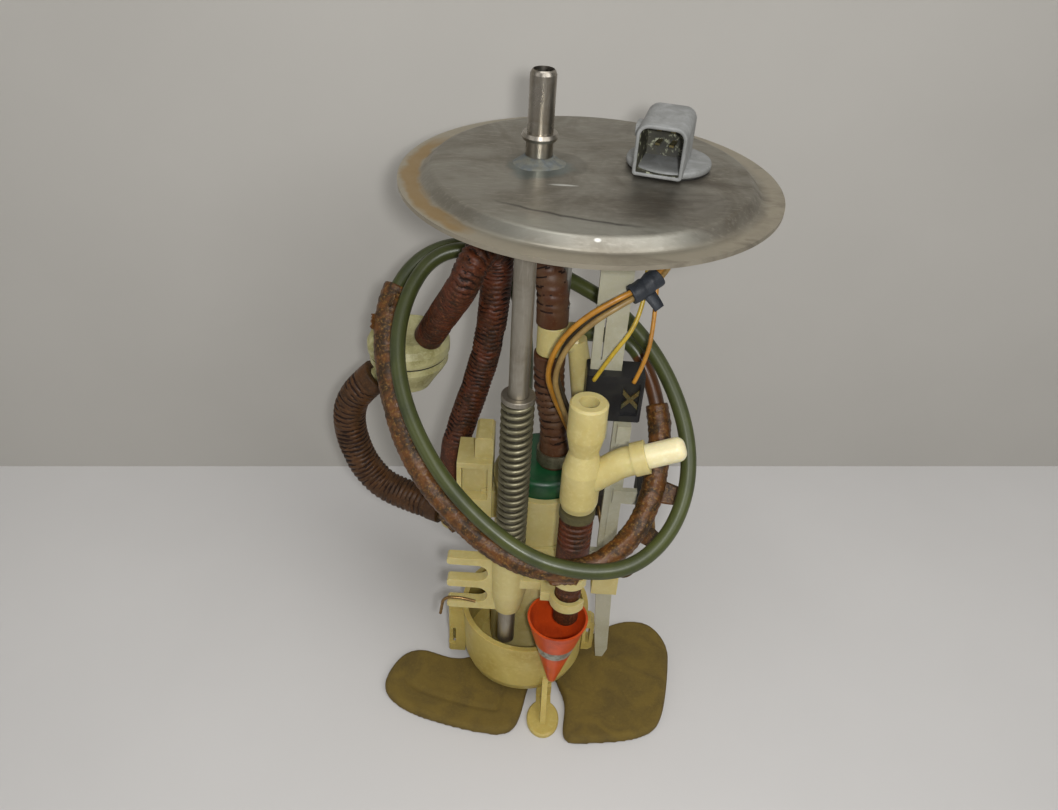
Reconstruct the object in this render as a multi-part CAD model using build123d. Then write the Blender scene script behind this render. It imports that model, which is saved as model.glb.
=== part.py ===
from build123d import *
from math import cos, pi, radians, sin, sqrt, tan
import os

# In-tank fuel pump module. Millimetres, +Z up.
# The origin is the centre of the plane where the cover seals on the tank.
# Heights in the comments and in level() are above the floor that the module stands on.

seat_height = 253.0
stroke = 25.0

# Cover: a stamped steel disc with a raised middle
cover_d = 140.0
cover_t = 1.6
seal_band = 8.0
plateau_rise = 4.0
shoulder_run = 4.0
shoulder_fillet = 2.2

# Supply tube, brazed through the cover
port_d = 9.53
stem_d = 10.0
port_bore = 7.4
port_x = -19.3
port_y = 3.0
port_above = 32.5
port_below = 12.0
port_bead_rise = 9.5
port_bead_d = 13.6
port_bead_t = 2.6
braze_d = 17.0
braze_t = 1.8

# Electrical socket, turned towards the front left
socket_x = 26.7
socket_y = 6.0
socket_turn = -18.7
socket_w = 15.6
socket_l = 20.0
socket_h = 19.5
socket_wall = 1.7
socket_depth = 15.0
socket_gasket_t = 1.0
socket_base_t = 2.4
socket_base_d = 32.0
socket_base_shift = 3.6
socket_neck_d = 23.0
socket_neck_below = 9.0
blade_w = 1.6
blade_t = 0.8
blade_l = 9.0

# Guide rod with its spring
rod_d = 7.94
rod_x = -21.5
rod_y = -36.0
rod_reserve = 4.8
stop_ring_d = 13.4
stop_ring_t = 2.2
spring_top = 179.0
spring_mean_d = 11.2
spring_wire_d = 2.0
spring_pitch = 3.4
slide_gap = 0.08

# Reservoir cup
cup_x = -12.8
cup_y = -15.0
cup_d = 61.0
cup_wall = 1.8
cup_floor = 2.2
cup_bottom = 6.0
cup_rim = 41.0
cup_corner = 7.0
rim_bead = 0.7
foot_x = -1.0
foot_y = -54.0
foot_w = 15.6
foot_l = 20.0
foot_t = 2.2
foot_rib_t = 2.6
foot_rib_top = 19.0

# Pump, standing in its holder
pump_x = -9.0
pump_y = -9.0
pump_d = 38.0
pump_wall = 0.8
pump_base = 18.6
can_bottom = 29.0
can_top = 117.0
pump_top = 129.0
outlet_dx = 4.0
outlet_dy = -3.0
barb_d = 8.2
outlet_barb_l = 14.0
inlet_d = 10.0
shaft_d = 3.0
armature_d = 29.0
armature_bottom = 50.0
armature_top = 92.0
commutator_d = 14.0
commutator_l = 6.0
air_gap = 1.05
impeller_d = 33.0
impeller_t = 4.0
impeller_bottom = 30.0
vane_pitch = 3.45
boot_t = 2.6
base_plug_d = 32.0

# Pump holder and what is moulded or clipped on it
holder_gap = 0.3
holder_wall = 1.7
holder_bottom = 14.0
holder_floor = 2.0
holder_top = 121.0
holder_back_angle = 70.0
bracket_gap = 0.1
bracket_wall = 1.8
guide_d = 17.0
guide_end_d = 12.6
guide_bottom = 60.0
guide_top = 96.0
comb_tip_x = -49.0
comb_t = 4.8
comb_top = 94.0
comb_bottom = 62.0
comb_slots = ((71.0, 9.6), (85.0, 9.6))
comb_slot_root = -35.5
claw_levels = (80.0, 94.5)
claw_h = 5.0
claw_t = 2.0

# Port block on the left of the holder
block_w = 15.6
block_l = 18.0
block_bottom = 96.0
block_top = 131.0
block_step_w = 8.0
block_step_h = 11.0
manifold_x = -51.0
manifold_y = 6.0
manifold_d = 12.0
manifold_bottom = 72.0
manifold_top = 103.0
nipple_d = 7.6
nipple_l = 6.0
loop_port_level = 78.0

# Hoses
hose_d = 13.2
hose_bore = 8.3
arch_hose_d = 13.2
loop_hose_d = 15.6
small_bore = 7.7
supply_bore = 10.08
line_d = 6.35
line_socket_d = 9.0
line_socket_depth = 5.0
line_gap = 0.05
sleeve_d = 10.0
sleeve_gap = 0.2
clamp_t = 0.9
clamp_w = 6.0
clamp_gap = 0.05

# T fitting and the drain hose below it
tee_x = 4.9
tee_y = -47.5
tee_bottom = 135.0
tee_top = 188.0
tee_socket_d = 14.6
tee_socket_bore = 7.6
tee_socket_depth = 12.0
tee_neck_d = 11.4
tee_body_d = 15.4
tee_body_top = 160.0
tee_branch_level = 148.0
tee_elbow_x = 19.5
tee_elbow_level = 160.0
tee_branch_rise = 22.0
tee_branch_d = 11.8
tee_branch_l = 5.0
tee_collar_d = 13.4
tee_collar_l = 5.5
tee_pin_d = 9.8
tee_pin_l = 15.0
drain_hose_d = 14.0
drain_end_d = 11.2
drain_step = 104.0
drain_bottom = 69.0
ripple_pitch = 2.7
ripple_depth = 0.6
wide_ripple_pitch = 4.6
drain_seal_d = 14.6
drain_seal_t = 3.2
cone_x = 1.5
cone_y = -49.5
cone_top = 71.0
cone_tip = 26.0
cone_d = 27.0
cone_wall = 1.0
cone_tip_d = 4.0

# In-line pressure regulator
reg_x = -73.0
reg_y = 24.0
reg_bottom = 141.0
reg_top = 170.0
reg_d = 37.0
reg_seam = 159.0
reg_seal_t = 1.0

# Outlet tee above the pump
outlet_tee_x = -10.0
outlet_tee_y = -7.5
outlet_tee_bottom = 183.0
outlet_tee_top = 197.0
outlet_tee_d = 11.6

# Level sender
strip_x = 12.2
strip_y = -19.0
strip_w = 12.4
strip_t = 2.6
strip_tail = 150.0
sender_x0 = 4.8
sender_x1 = 27.8
sender_l = 12.0
sender_bottom = 163.0
sender_top = 184.5
rail_top_x = 21.0
rail_foot_x = 26.0
rail_y = -27.0
rail_w = 7.0
rail_t = 2.6
rail_bottom = 15.0
pivot_x = 35.0
pivot_y = -15.0
pivot_level = 125.0
pivot_d = 2.4
arm_wire_d = 1.8
arm_fit = 0.05
float_w = 26.0
float_l = 13.0
float_h = 14.0
wire_d = 2.0
wire_spread = 1.3

# Values that follow from those above
plateau_top = plateau_rise + cover_t
plateau_r = cover_d / 2 - seal_band - shoulder_run
rod_r = rod_d / 2
pump_r = pump_d / 2
holder_r = pump_r + holder_gap
shell_r = holder_r + holder_wall
outlet_x = pump_x + outlet_dx
outlet_y = pump_y + outlet_dy
rod_bottom = cup_bottom + cup_floor + stroke + rod_reserve
arch_crest = seat_height - stroke + plateau_rise - arch_hose_d / 2


def level(height):
    """z of a height above the floor."""
    return height - seat_height


def disc(x, y, bottom, top, d):
    """Upright cylinder between two heights above the floor."""
    base = Plane((x, y, level(bottom)))
    return extrude(base * Circle(d / 2), top - bottom)


def ring(x, y, bottom, top, d, bore):
    """Upright ring between two heights above the floor."""
    base = Plane((x, y, level(bottom)))
    return extrude(base * (Circle(d / 2) - Circle(bore / 2)), top - bottom)


def block(x0, x1, y0, y1, bottom, top):
    """Upright block between two corners and two heights above the floor."""
    base = Plane(((x0 + x1) / 2, (y0 + y1) / 2, level(bottom)))
    return extrude(base * Rectangle(x1 - x0, y1 - y0), top - bottom)


def turned(points, x, y, z=0.0):
    """Solid of revolution about an upright axis from (radius, z) points."""
    outline = make_face(Plane.XZ * Polyline(*points, close=True))
    return Pos(x, y, z) * revolve(outline, Axis.Z)


def rod_between(start, end, d):
    """Straight round bar from one point to another."""
    start = Vector(*start)
    along = Vector(*end) - start
    return extrude(Plane(start, z_dir=along.normalized()) * Circle(d / 2), along.length)


def route_radii(points):
    """Largest bend radius that the runs beside each corner allow."""
    radii = []
    for before, corner, after in zip(points, points[1:], points[2:]):
        run_in = Vector(*corner) - Vector(*before)
        run_out = Vector(*after) - Vector(*corner)
        half_turn = radians(run_in.get_angle(run_out)) / 2
        radii.append(0.45 * min(run_in.length, run_out.length) / tan(half_turn))
    return radii


def bent_tube(points, d, bore=0.0, radii=None):
    """Round tube along straight runs joined by tangent arcs."""
    corners = radii or route_radii(points)
    line = FilletPolyline(*points, radius=corners)
    start = Plane(line @ 0, z_dir=line % 0)
    tube = sweep(start * Circle(d / 2), line)
    if bore:
        tube -= sweep(start * Circle(bore / 2), line)
    share = tube.volume / (pi / 4 * (d * d - bore * bore) * line.length)
    print(f"tube {d} long {line.length:.0f} tightest {min(corners):.1f} volume share {share:.4f}")
    return tube


def at_floor(points):
    """Route points given as (x, y, height above the floor)."""
    return [(x, y, level(height)) for x, y, height in points]


# Cover and what is fixed to it

def cover_plate():
    edge_r = cover_d / 2
    foot_r = edge_r - seal_band
    outline = [
        (0, plateau_rise), (plateau_r, plateau_rise), (foot_r, 0), (edge_r, 0),
        (edge_r, cover_t), (foot_r, cover_t), (plateau_r, plateau_top), (0, plateau_top),
    ]
    face = make_face(Plane.XZ * Polyline(*outline, close=True))
    bends = [v for v in face.vertices() if plateau_r - 1 < v.X < foot_r + 1]
    plate = revolve(fillet(bends, shoulder_fillet), Axis.Z)
    plate -= Pos(port_x, port_y, plateau_rise) * Cylinder(stem_d / 2 + slide_gap, 3 * cover_t)
    neck_place = socket_frame() * Pos(0, socket_base_shift, 0)
    neck = neck_place * Cylinder(socket_neck_d / 2 + 0.2, 4 * cover_t)
    return plate - neck


def supply_tube():
    """Tube with a stout stem, a stop bead and the plain end that a hose pushes on to."""
    r = port_d / 2
    stem_r = stem_d / 2
    bead_mid = plateau_top + port_bead_rise
    bead_r = port_bead_d / 2
    half = port_bead_t / 2
    top = plateau_top + port_above
    low = -port_below
    outline = [
        (port_bore / 2, low), (stem_r - 0.5, low), (stem_r, low + 2.0), (stem_r, bead_mid - half),
        (bead_r - 0.6, bead_mid - half), (bead_r, bead_mid), (bead_r - 0.6, bead_mid + half),
        (r, bead_mid + half), (r, top - 1.6), (r - 0.5, top - 0.5), (r - 1.0, top), (port_bore / 2, top),
    ]
    return turned(outline, port_x, port_y)


def braze_collar():
    inner = stem_d / 2 + slide_gap
    outline = [
        (inner, 0), (braze_d / 2, 0), (braze_d / 2 - 1.2, 0.5),
        (inner + 1.4, 1.1), (inner + 0.5, braze_t), (inner, braze_t),
    ]
    return turned(outline, port_x, port_y, plateau_top)


def socket_frame():
    """Frame of the socket: origin on the raised middle, its open end towards -Y."""
    return Pos(socket_x, socket_y, plateau_top) * Rot(0, 0, socket_turn)


def socket_housing():
    low = socket_gasket_t + socket_base_t
    base = Pos(0, socket_base_shift, socket_gasket_t) * extrude(Circle(socket_base_d / 2), socket_base_t)
    base = fillet(base.edges().group_by(Axis.Z)[-1], 0.8)
    shell = Pos(0, 0, low) * extrude(Rectangle(socket_w, socket_l), socket_h - low)
    upper = shell.edges().filter_by(Axis.Y).group_by(Axis.Z)[-1]
    shell = fillet(upper, 2.6)
    shell = fillet(shell.edges().filter_by(Axis.Z), 1.0)
    mouth_w = socket_w - 2 * socket_wall
    mouth_h = socket_h - low - 2 * socket_wall
    mouth_mid = low + (socket_h - low) / 2
    mouth = Plane((0, -socket_l / 2 - 1, mouth_mid), x_dir=(1, 0, 0), z_dir=(0, 1, 0))
    cavity = extrude(mouth * RectangleRounded(mouth_w, mouth_h, 1.4), socket_depth + 1)
    latch = Pos(-socket_w / 2 - 1.1, -socket_l / 2 + 4.5, socket_h - 6.5) * Box(2.2, 5.0, 3.4)
    latch = fillet(latch.edges().filter_by(Axis.Z), 0.6)
    neck_top = socket_gasket_t
    neck_low = -cover_t - socket_neck_below + plateau_rise
    neck = Pos(0, socket_base_shift, neck_low) * extrude(Circle(socket_neck_d / 2), neck_top - neck_low)
    return socket_frame() * (base + shell + latch + neck - cavity)


def socket_blades():
    low = socket_gasket_t + socket_base_t
    back = -socket_l / 2 + socket_depth
    mid = low + (socket_h - low) / 2
    blades = []
    for column in (-1, 1):
        for row in (-1, 1):
            place = Pos(column * 2.6, back - blade_l / 2, mid + row * 2.6)
            blades.append(socket_frame() * place * Box(blade_w, blade_l, blade_t))
    return Compound(blades)


def socket_gasket():
    flat = Circle(socket_base_d / 2 - 0.8) - Circle(socket_neck_d / 2 + 0.3)
    return socket_frame() * Pos(0, socket_base_shift, 0) * extrude(flat, socket_gasket_t)


def guide_rod():
    rod = disc(rod_x, rod_y, rod_bottom, seat_height + plateau_rise, rod_d)
    return chamfer(rod.edges().group_by(Axis.Z)[0], 0.8)


def stop_ring():
    body = ring(rod_x, rod_y, spring_top, spring_top + stop_ring_t, stop_ring_d, rod_d + 2 * 0.01)
    return fillet(body.edges().group_by(Axis.Z)[-1], 0.4)


def vent_stub():
    stub = ring(-6.5, 4.0, 197.5, seat_height + plateau_rise, 6.0, 4.2)
    return stub + ring(-6.5, 4.0, 197.5, 199.5, 7.0, 4.2)


def guide_strip():
    x0 = strip_x - strip_w / 2
    x1 = strip_x + strip_w / 2
    y0 = strip_y - strip_t / 2
    y1 = strip_y + strip_t / 2
    under = seat_height + plateau_rise
    upper = block(x0, x1, y0, y1, sender_bottom - 3, under)
    tail = block(x0 + 2.4, x1 - 2.5, y0, y1, strip_tail, sender_bottom - 3)
    heel = block(x0, x1, y1, y1 + 2.2, under - 9, under)
    free = under - sender_top
    slit_low = sender_top + 0.06 * free
    slit_high = sender_top + 0.42 * free
    slit = block(strip_x - 2.6, strip_x - 2.0, y0 - 1, y1 + 1, slit_low, slit_high)
    return upper + tail + heel - slit


def tape_wrap():
    """Tape round the wires, from the middle of one run of the bundle to the middle of the next."""
    points = at_floor(bundle_points)
    i = bundle_points.index(tape_point)
    start = (Vector(*points[i - 1]) + Vector(*points[i])) / 2
    end = (Vector(*points[i]) + Vector(*points[i + 1])) / 2
    radius = route_radii(points)[i - 1]
    return bent_tube([tuple(start), points[i], tuple(end)], tape_d, tape_bore, [radius])


# Spring

def coil_spring():
    low = level(guide_top) + spring_wire_d / 2
    high = level(spring_top) - spring_wire_d / 2
    turns = round((high - low) / spring_pitch)
    path = Helix(pitch=(high - low) / turns, height=high - low, radius=spring_mean_d / 2)
    start = Plane(path @ 0, z_dir=path % 0)
    coil = sweep(start * RegularPolygon(spring_wire_d / 2, 8), path, is_frenet=True)
    return Pos(rod_x, rod_y, low) * coil


# Reservoir cup

def reservoir_cup():
    r = cup_d / 2
    inner = r - cup_wall
    low = level(cup_bottom)
    rim = level(cup_rim)
    inner_low = low + cup_floor
    outline = [
        (0, low), (r - cup_corner, low), (r - 2.2, low + 2.6), (r - 0.7, low + cup_corner),
        (r, rim - 2.4), (r + rim_bead, rim - 1.8), (r + rim_bead, rim), (inner, rim),
        (inner - 0.6, low + cup_corner), (r - cup_corner, inner_low), (0, inner_low),
    ]
    cup = turned(outline, cup_x, cup_y)
    cup -= disc(pump_x, pump_y, cup_bottom - 1, cup_bottom + 5, inlet_d + 0.4)
    return cup + cup_foot() + cup_lug() + cup_clip()


def cup_foot():
    wall_y = cup_y - sqrt((cup_d / 2 - 1.0) ** 2 - (foot_x - cup_x) ** 2)
    pad = Plane((foot_x, foot_y, level(0))) * Ellipse(foot_w / 2, foot_l / 2)
    pad = extrude(pad, foot_t)
    pad = chamfer(pad.edges().group_by(Axis.Z)[-1], 0.7)
    side = [
        (wall_y, level(foot_rib_top)), (wall_y - 2.5, level(foot_rib_top)),
        (foot_y - 3.5, level(foot_t)), (wall_y + 1.0, level(foot_t)),
        (wall_y + 1.0, level(foot_rib_top) - 8),
    ]
    web = make_face(Plane.YZ * Polyline(*side, close=True))
    web = Pos(foot_x - foot_rib_t / 2, 0, 0) * extrude(web, foot_rib_t)
    tongue = block(foot_x - 3.6, foot_x + 3.6, foot_y, wall_y + 3.2, 0, foot_t)
    neck = block(foot_x - 3.6, foot_x + 3.6, wall_y + 0.6, wall_y + 3.2, 0, cup_bottom + 3.4)
    return pad + web + tongue + neck


def cup_lug():
    x1 = cup_x - cup_d / 2 + 1.2
    lug = block(x1 - 8.6, x1, cup_y - 4.5, cup_y + 4.5, 5, 36)
    lug = fillet(lug.edges().filter_by(Axis.Z).group_by(Axis.X)[0], 1.6)
    slot = block(x1 - 6.6, x1 - 1.4, cup_y - 2.6, cup_y + 2.6, 4, 30)
    notch = block(x1 - 9, x1 - 5, cup_y - 6, cup_y - 1.2, 10, 22)
    return lug - slot - notch


def cup_clip():
    x0 = cup_x + cup_d / 2 - 1.2
    clip = block(x0, x0 + 5.4, cup_y - 8.5, cup_y - 1.5, 17, 38)
    clip = chamfer(clip.edges().filter_by(Axis.Y).group_by(Axis.X)[-1], 2.0)
    return clip - block(x0 + 1.6, x0 + 3.6, cup_y - 9, cup_y - 1, 22, 33)


# Strainer below the cup

def strainer_lobe(points):
    """One lobe of the strainer sock, a flat bag with rounded rims."""
    outline = make_face(Spline(*points, periodic=True))
    bag = extrude(Plane((0, 0, level(0))) * outline, 4.6)
    bag = fillet(bag.edges().group_by(Axis.Z)[-1], 1.8)
    return bag


def filter_sock():
    left = [
        (-80.5, -39.5), (-75.0, -24.5), (-64.5, -19.0), (-45.0, -23.0), (-24.0, -16.0),
        (-7.0, -20.0), (-8.4, -41.0), (-15.0, -60.5), (-28.0, -64.0), (-58.0, -58.0), (-74.5, -50.0),
    ]
    right = [
        (2.0, -20.0), (16.0, -8.0), (38.0, 6.5), (54.0, 7.0), (63.0, -4.5), (63.5, -20.0),
        (57.0, -50.0), (46.0, -61.0), (24.0, -65.5), (9.0, -64.5), (9.0, -44.0),
    ]
    middle = disc(pump_x + 3, pump_y - 9, 0, 4.6, 34.0)
    bag = strainer_lobe(left) + strainer_lobe(right) + middle
    foot_room = block(foot_x - 8.8, foot_x + 8.8, foot_y - 14, cup_y - 25.5, -1, 9)
    port = disc(pump_x, pump_y, -1, 9, inlet_d + 4.4)
    return bag - foot_room - port


def sock_collar():
    low = ring(pump_x, pump_y, 0.6, cup_bottom - 0.1, inlet_d + 4.0, inlet_d + 0.3)
    return low


# Pump

def pump_inlet_base():
    body = disc(pump_x, pump_y, pump_base, can_bottom, pump_d)
    body = chamfer(body.edges().group_by(Axis.Z)[0], 1.2)
    spigot = disc(pump_x, pump_y, 2.0, pump_base, inlet_d)
    room = disc(pump_x, pump_y, can_bottom - 1.0, can_bottom + 1, impeller_d)
    inlet = disc(pump_x, pump_y, 1, pump_base + 3, inlet_d - 3)
    feed = block(pump_x + 1, pump_x + 14, pump_y - 2, pump_y + 2, pump_base + 2, can_bottom + 1)
    bearing = disc(pump_x, pump_y, pump_base + 5, can_bottom + 1, shaft_d + 0.1)
    return body + spigot - room - inlet - feed - bearing


def pump_can():
    shell = ring(pump_x, pump_y, can_bottom, can_top, pump_d, pump_d - 2 * pump_wall)
    lip = ring(pump_x, pump_y, can_top - 2.0, can_top, pump_d, pump_d - 4.5)
    bead = ring(pump_x, pump_y, can_bottom, can_bottom + 1.2, pump_d, pump_d - 4.0)
    return shell + lip + bead


def pump_outlet_cap():
    body = disc(pump_x, pump_y, can_top, pump_top, pump_d - 0.6)
    body = fillet(body.edges().group_by(Axis.Z)[-1], 2.4)
    plug = disc(pump_x, pump_y, can_top - 8, can_top, pump_d - 5.0)
    plug -= disc(pump_x, pump_y, can_top - 9, can_top - 2, pump_d - 12.0)
    barb = disc(outlet_x, outlet_y, pump_top - 1, pump_top + outlet_barb_l, barb_d)
    barb = chamfer(barb.edges().group_by(Axis.Z)[-1], 0.8)
    bore = disc(outlet_x, outlet_y, can_top - 3, pump_top + outlet_barb_l + 1, 4.6)
    bearing = disc(pump_x, pump_y, can_top - 9, can_top + 3, shaft_d + 0.1)
    tower = block(pump_x + 12.2, pump_x + 16.2, pump_y - 6, pump_y + 2, pump_top - 3, pump_top + 4)
    return body + plug + barb + tower - bore - bearing


def rubber_boot():
    low = holder_bottom + holder_floor
    return ring(pump_x, pump_y, low, low + boot_t, base_plug_d, inlet_d + 3)


def pump_magnets():
    outer = pump_r - pump_wall - 0.05
    bore = armature_d + 2 * air_gap
    tube = ring(pump_x, pump_y, armature_bottom - 2, armature_top + 2, 2 * outer, bore)
    split = block(pump_x - 5, pump_x + 5, pump_y - 30, pump_y + 30, armature_bottom - 5, armature_top + 5)
    return tube - split


def pump_brushes():
    gap = commutator_d / 2 + 0.15
    low = armature_top + 3.5
    left = block(pump_x - gap - 6, pump_x - gap, pump_y - 2.5, pump_y + 2.5, low, low + 4)
    right = block(pump_x + gap, pump_x + gap + 6, pump_y - 2.5, pump_y + 2.5, low, low + 4)
    return Compound([left, right])


def brush_card():
    low = armature_top + 2.4
    card = ring(pump_x, pump_y, low, low + 1.0, pump_d - 2 * pump_wall - 0.2, commutator_d + 1.0)
    return card


def armature():
    core = disc(pump_x, pump_y, armature_bottom, armature_top, armature_d)
    slot = Pos(armature_d / 2, 0, 0) * Box(7.0, 1.6, 80)
    for turn in range(8):
        core -= Pos(pump_x, pump_y, level(armature_bottom + 21)) * Rot(0, 0, 45 * turn) * slot
    low = armature_top
    core += disc(pump_x, pump_y, low, low + commutator_l + 2, commutator_d)
    return core - disc(pump_x, pump_y, armature_bottom - 1, low + 20, shaft_d)


def rotor_shaft():
    return disc(pump_x, pump_y, pump_base + 6, can_top + 2, shaft_d)


def impeller():
    low = impeller_bottom - 1
    wheel = disc(pump_x, pump_y, low, low + impeller_t, impeller_d - 0.6)
    pocket = Pos(impeller_d / 2 - 0.6, 0, 0) * Box(3.6, 1.5, 20)
    cuts = []
    vanes = round(pi * impeller_d / vane_pitch)
    for turn in range(vanes):
        cuts.append(Pos(pump_x, pump_y, level(low)) * Rot(0, 0, 360 / vanes * turn) * pocket)
    wheel -= Compound(cuts)
    return wheel - disc(pump_x, pump_y, 20, 40, shaft_d)


def impeller_chamber():
    low = impeller_bottom - 1 + impeller_t + 0.3
    plate = disc(pump_x, pump_y, low, low + 4, pump_d - 2 * pump_wall - 0.1)
    return plate - disc(pump_x, pump_y, 20, 60, shaft_d + 0.1) - disc(pump_x + 12, pump_y, 20, 60, 3.0)


# Holder, bracket and ports

def pump_holder():
    cup_inside = cup_bottom + cup_floor
    shell = ring(pump_x, pump_y, holder_bottom, holder_top, 2 * shell_r, 2 * holder_r)
    lips = ring(pump_x, pump_y, holder_top - 3, holder_top, 2 * shell_r + 2.4, 2 * holder_r)
    reach = 2 * shell_r
    spread = reach * tan(radians(holder_back_angle / 2))
    wedge = make_face(Polyline((0, 0), (-spread, reach), (spread, reach), close=True))
    opening = Pos(pump_x, pump_y, level(holder_bottom + 18)) * extrude(wedge, holder_top)
    window = block(pump_x - 40, pump_x + 40, pump_y - 5, pump_y + 5, 52, 88)
    shell = shell + lips - opening - window
    tray = ring(pump_x, pump_y, holder_bottom, holder_bottom + holder_floor, 2 * shell_r, inlet_d + 0.4)
    stand = ring(pump_x, pump_y, cup_inside, holder_bottom + 1, base_plug_d, base_plug_d - 5)
    return shell + tray + stand


def return_port():
    """Socket for the nylon line, on a saddle behind the holder."""
    x, y, top = line_points[0]
    body = disc(x, y, 98, top + line_socket_depth, line_socket_d)
    foot = block(x - 3, x + 6, pump_y + 8, y, 100, 110) - disc(pump_x, pump_y, 90, 125, 2 * shell_r + 0.2)
    return body + foot - disc(x, y, top, top + 20, line_d + 2 * line_gap)


def guide_bracket():
    low = level(guide_bottom)
    top = level(guide_top)
    outline = [
        (0, low), (guide_end_d / 2 - 1.2, low), (guide_end_d / 2, low + 1.6), (guide_d / 2 - 0.4, low + 13),
        (guide_d / 2, top - 0.8), (guide_d / 2 - 0.8, top), (0, top),
    ]
    tube = turned(outline, rod_x, rod_y)
    saddle_bore = 2 * (shell_r + bracket_gap)
    saddle = ring(pump_x, pump_y, comb_bottom, guide_top - 2, saddle_bore + 2 * bracket_wall, saddle_bore)
    reach = 2 * shell_r
    saddle -= block(pump_x - reach, pump_x + reach, pump_y - 9, pump_y + reach, 0, holder_top)
    web = block(rod_x, rod_x + 10, rod_y + 2, pump_y - 15, comb_bottom + 4, guide_top - 2)
    body = tube + saddle + web + comb() + claws()
    body -= disc(pump_x, pump_y, 40, 120, saddle_bore)
    return body - disc(rod_x, rod_y, guide_bottom - 5, guide_top + 5, rod_d + 2 * slide_gap)


def comb():
    """Three fingers that hold hoses and wires, with round-ended slots between them."""
    front = rod_y - comb_t + 1.0
    back = rod_y + 1.0
    plate = block(comb_tip_x, rod_x, front, back, comb_bottom, comb_top)
    for mid, gap in comb_slots:
        root = Pos(comb_slot_root, rod_y, level(mid)) * Rot(90, 0, 0) * Cylinder(gap / 2, 30)
        run = block(comb_tip_x - 2, comb_slot_root, front - 1, back + 1, mid - gap / 2, mid + gap / 2)
        plate -= root + run
    tips = plate.edges().filter_by(Axis.Y).group_by(Axis.X)[0]
    return fillet(tips, 1.6)


def claws():
    """Two open rings that grip the drain hose."""
    both = []
    inner = drain_end_d / 2 + 0.35
    for low in claw_levels:
        hoop = ring(tee_x, tee_y, low, low + claw_h, 2 * (inner + claw_t), 2 * inner)
        mouth = make_face(Polyline((0, 0), (40, -22), (40, 34), close=True))
        hoop -= Pos(tee_x, tee_y, level(low - 1)) * extrude(mouth, claw_h + 2)
        arm = block(rod_x + 4, tee_x - inner - 0.6, rod_y - 6.5, rod_y - 0.5, low, low + claw_h)
        slope = block(tee_x - inner - 6, tee_x - inner - 0.6, tee_y - 1, rod_y - 0.5, low, low + claw_h)
        both.append(hoop + arm + slope)
    return both[0] + both[1]


def port_block():
    x1 = pump_x - shell_r - 1.3
    x0 = x1 - block_w
    y0 = pump_y - block_l / 2 - 1
    y1 = y0 + block_l
    body = block(x0, x1, y0, y1, block_bottom, block_top)
    body += block(x1 - block_step_w, x1, y0 + 4, y1, block_top, block_top + block_step_h)
    body = chamfer(body.edges().filter_by(Axis.Y).group_by(Axis.Z)[-1], 1.2)
    body -= block(x0 + 2, x1 - 2, y0 - 1, y0 + 6, block_bottom + 14, block_top - 3)
    body += disc(manifold_x, manifold_y, manifold_bottom, manifold_top, manifold_d)
    body += disc(manifold_x, manifold_y, manifold_top, manifold_top + nipple_l, nipple_d)
    nipple_end = loop_port_point(manifold_d / 2 + nipple_l)
    body += rod_between(tuple(loop_port_point(0)), tuple(nipple_end), nipple_d)
    body += block(manifold_x, x0 + 6, y1 - 4, manifold_y + 4, block_bottom, manifold_top - 1)
    tab = block(x1 - 5, x1 + 6, y0 + 4, y0 + 12, block_bottom, block_bottom + 16)
    return body + tab - disc(pump_x, pump_y, 80, 150, 2 * shell_r + 0.1)


def loop_port_point(reach):
    """Point on the side nipple's axis, at a distance from the manifold's own axis."""
    outward = Vector(-22, 9, 0).normalized()
    return Vector(manifold_x, manifold_y, level(loop_port_level)) + outward * reach


def wire_hook():
    front = rod_y - comb_t + 1.0 - 0.8
    points = [(-36.0, front, 67.5), (-43.0, front, 69.5), (-50.5, front, 69.0), (-52.0, front, 58.0)]
    return bent_tube(at_floor(points), 1.4)


# T fitting, drain hose and cone

def tee_direction():
    rise = radians(tee_branch_rise)
    return Vector(cos(rise), 0, sin(rise))


def tee_branch_point(reach):
    """Point on the side branch's axis, at a distance beyond its elbow."""
    return Vector(tee_elbow_x, tee_y, level(tee_elbow_level)) + tee_direction() * reach


def t_fitting():
    r = tee_body_d / 2
    low = level(tee_bottom)
    outline = [
        (0, low), (r - 3.0, low), (r - 0.8, low + 2.0), (r, low + 5.0), (r, level(tee_body_top) - 4),
        (tee_neck_d / 2, level(tee_body_top) + 5), (tee_socket_d / 2, level(tee_top) - 15),
        (tee_socket_d / 2, level(tee_top) - 0.8), (tee_socket_d / 2 - 0.8, level(tee_top)),
        (0, level(tee_top)),
    ]
    body = turned(outline, tee_x, tee_y)
    elbow = tee_branch_point(0)
    collar_start = tee_branch_point(tee_branch_l)
    collar_end = tee_branch_point(tee_branch_l + tee_collar_l)
    branch_end = tee_branch_point(tee_branch_l + 1)
    branch = [(tee_x, tee_y, level(tee_branch_level)), tuple(elbow), tuple(branch_end)]
    body += bent_tube(branch, tee_branch_d)
    body += rod_between(tuple(collar_start), tuple(collar_end), tee_collar_d)
    body -= disc(tee_x, tee_y, tee_top - tee_socket_depth, tee_top + 1, tee_socket_bore)
    body -= disc(tee_x, tee_y, tee_bottom + 6, tee_top - tee_socket_depth, 4.6)
    pin_room = tee_branch_point(tee_branch_l - 2.0)
    body -= rod_between(tuple(pin_room), tuple(tee_branch_point(tee_branch_l + 12)), tee_pin_d)
    return body - disc(tee_x, tee_y, tee_bottom - 1, tee_bottom + 6, barb_d)


def t_side_pin():
    start = tee_branch_point(tee_branch_l - 1.8)
    end = tee_branch_point(tee_branch_l + tee_collar_l + tee_pin_l)
    pin = rod_between(tuple(start), tuple(end), tee_pin_d - 0.1)
    return fillet(pin.edges().sort_by(Axis.X)[-1], 3.4)


def drain_seal():
    return ring(tee_x, tee_y, tee_bottom - drain_seal_t, tee_bottom, drain_seal_d, barb_d)


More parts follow.
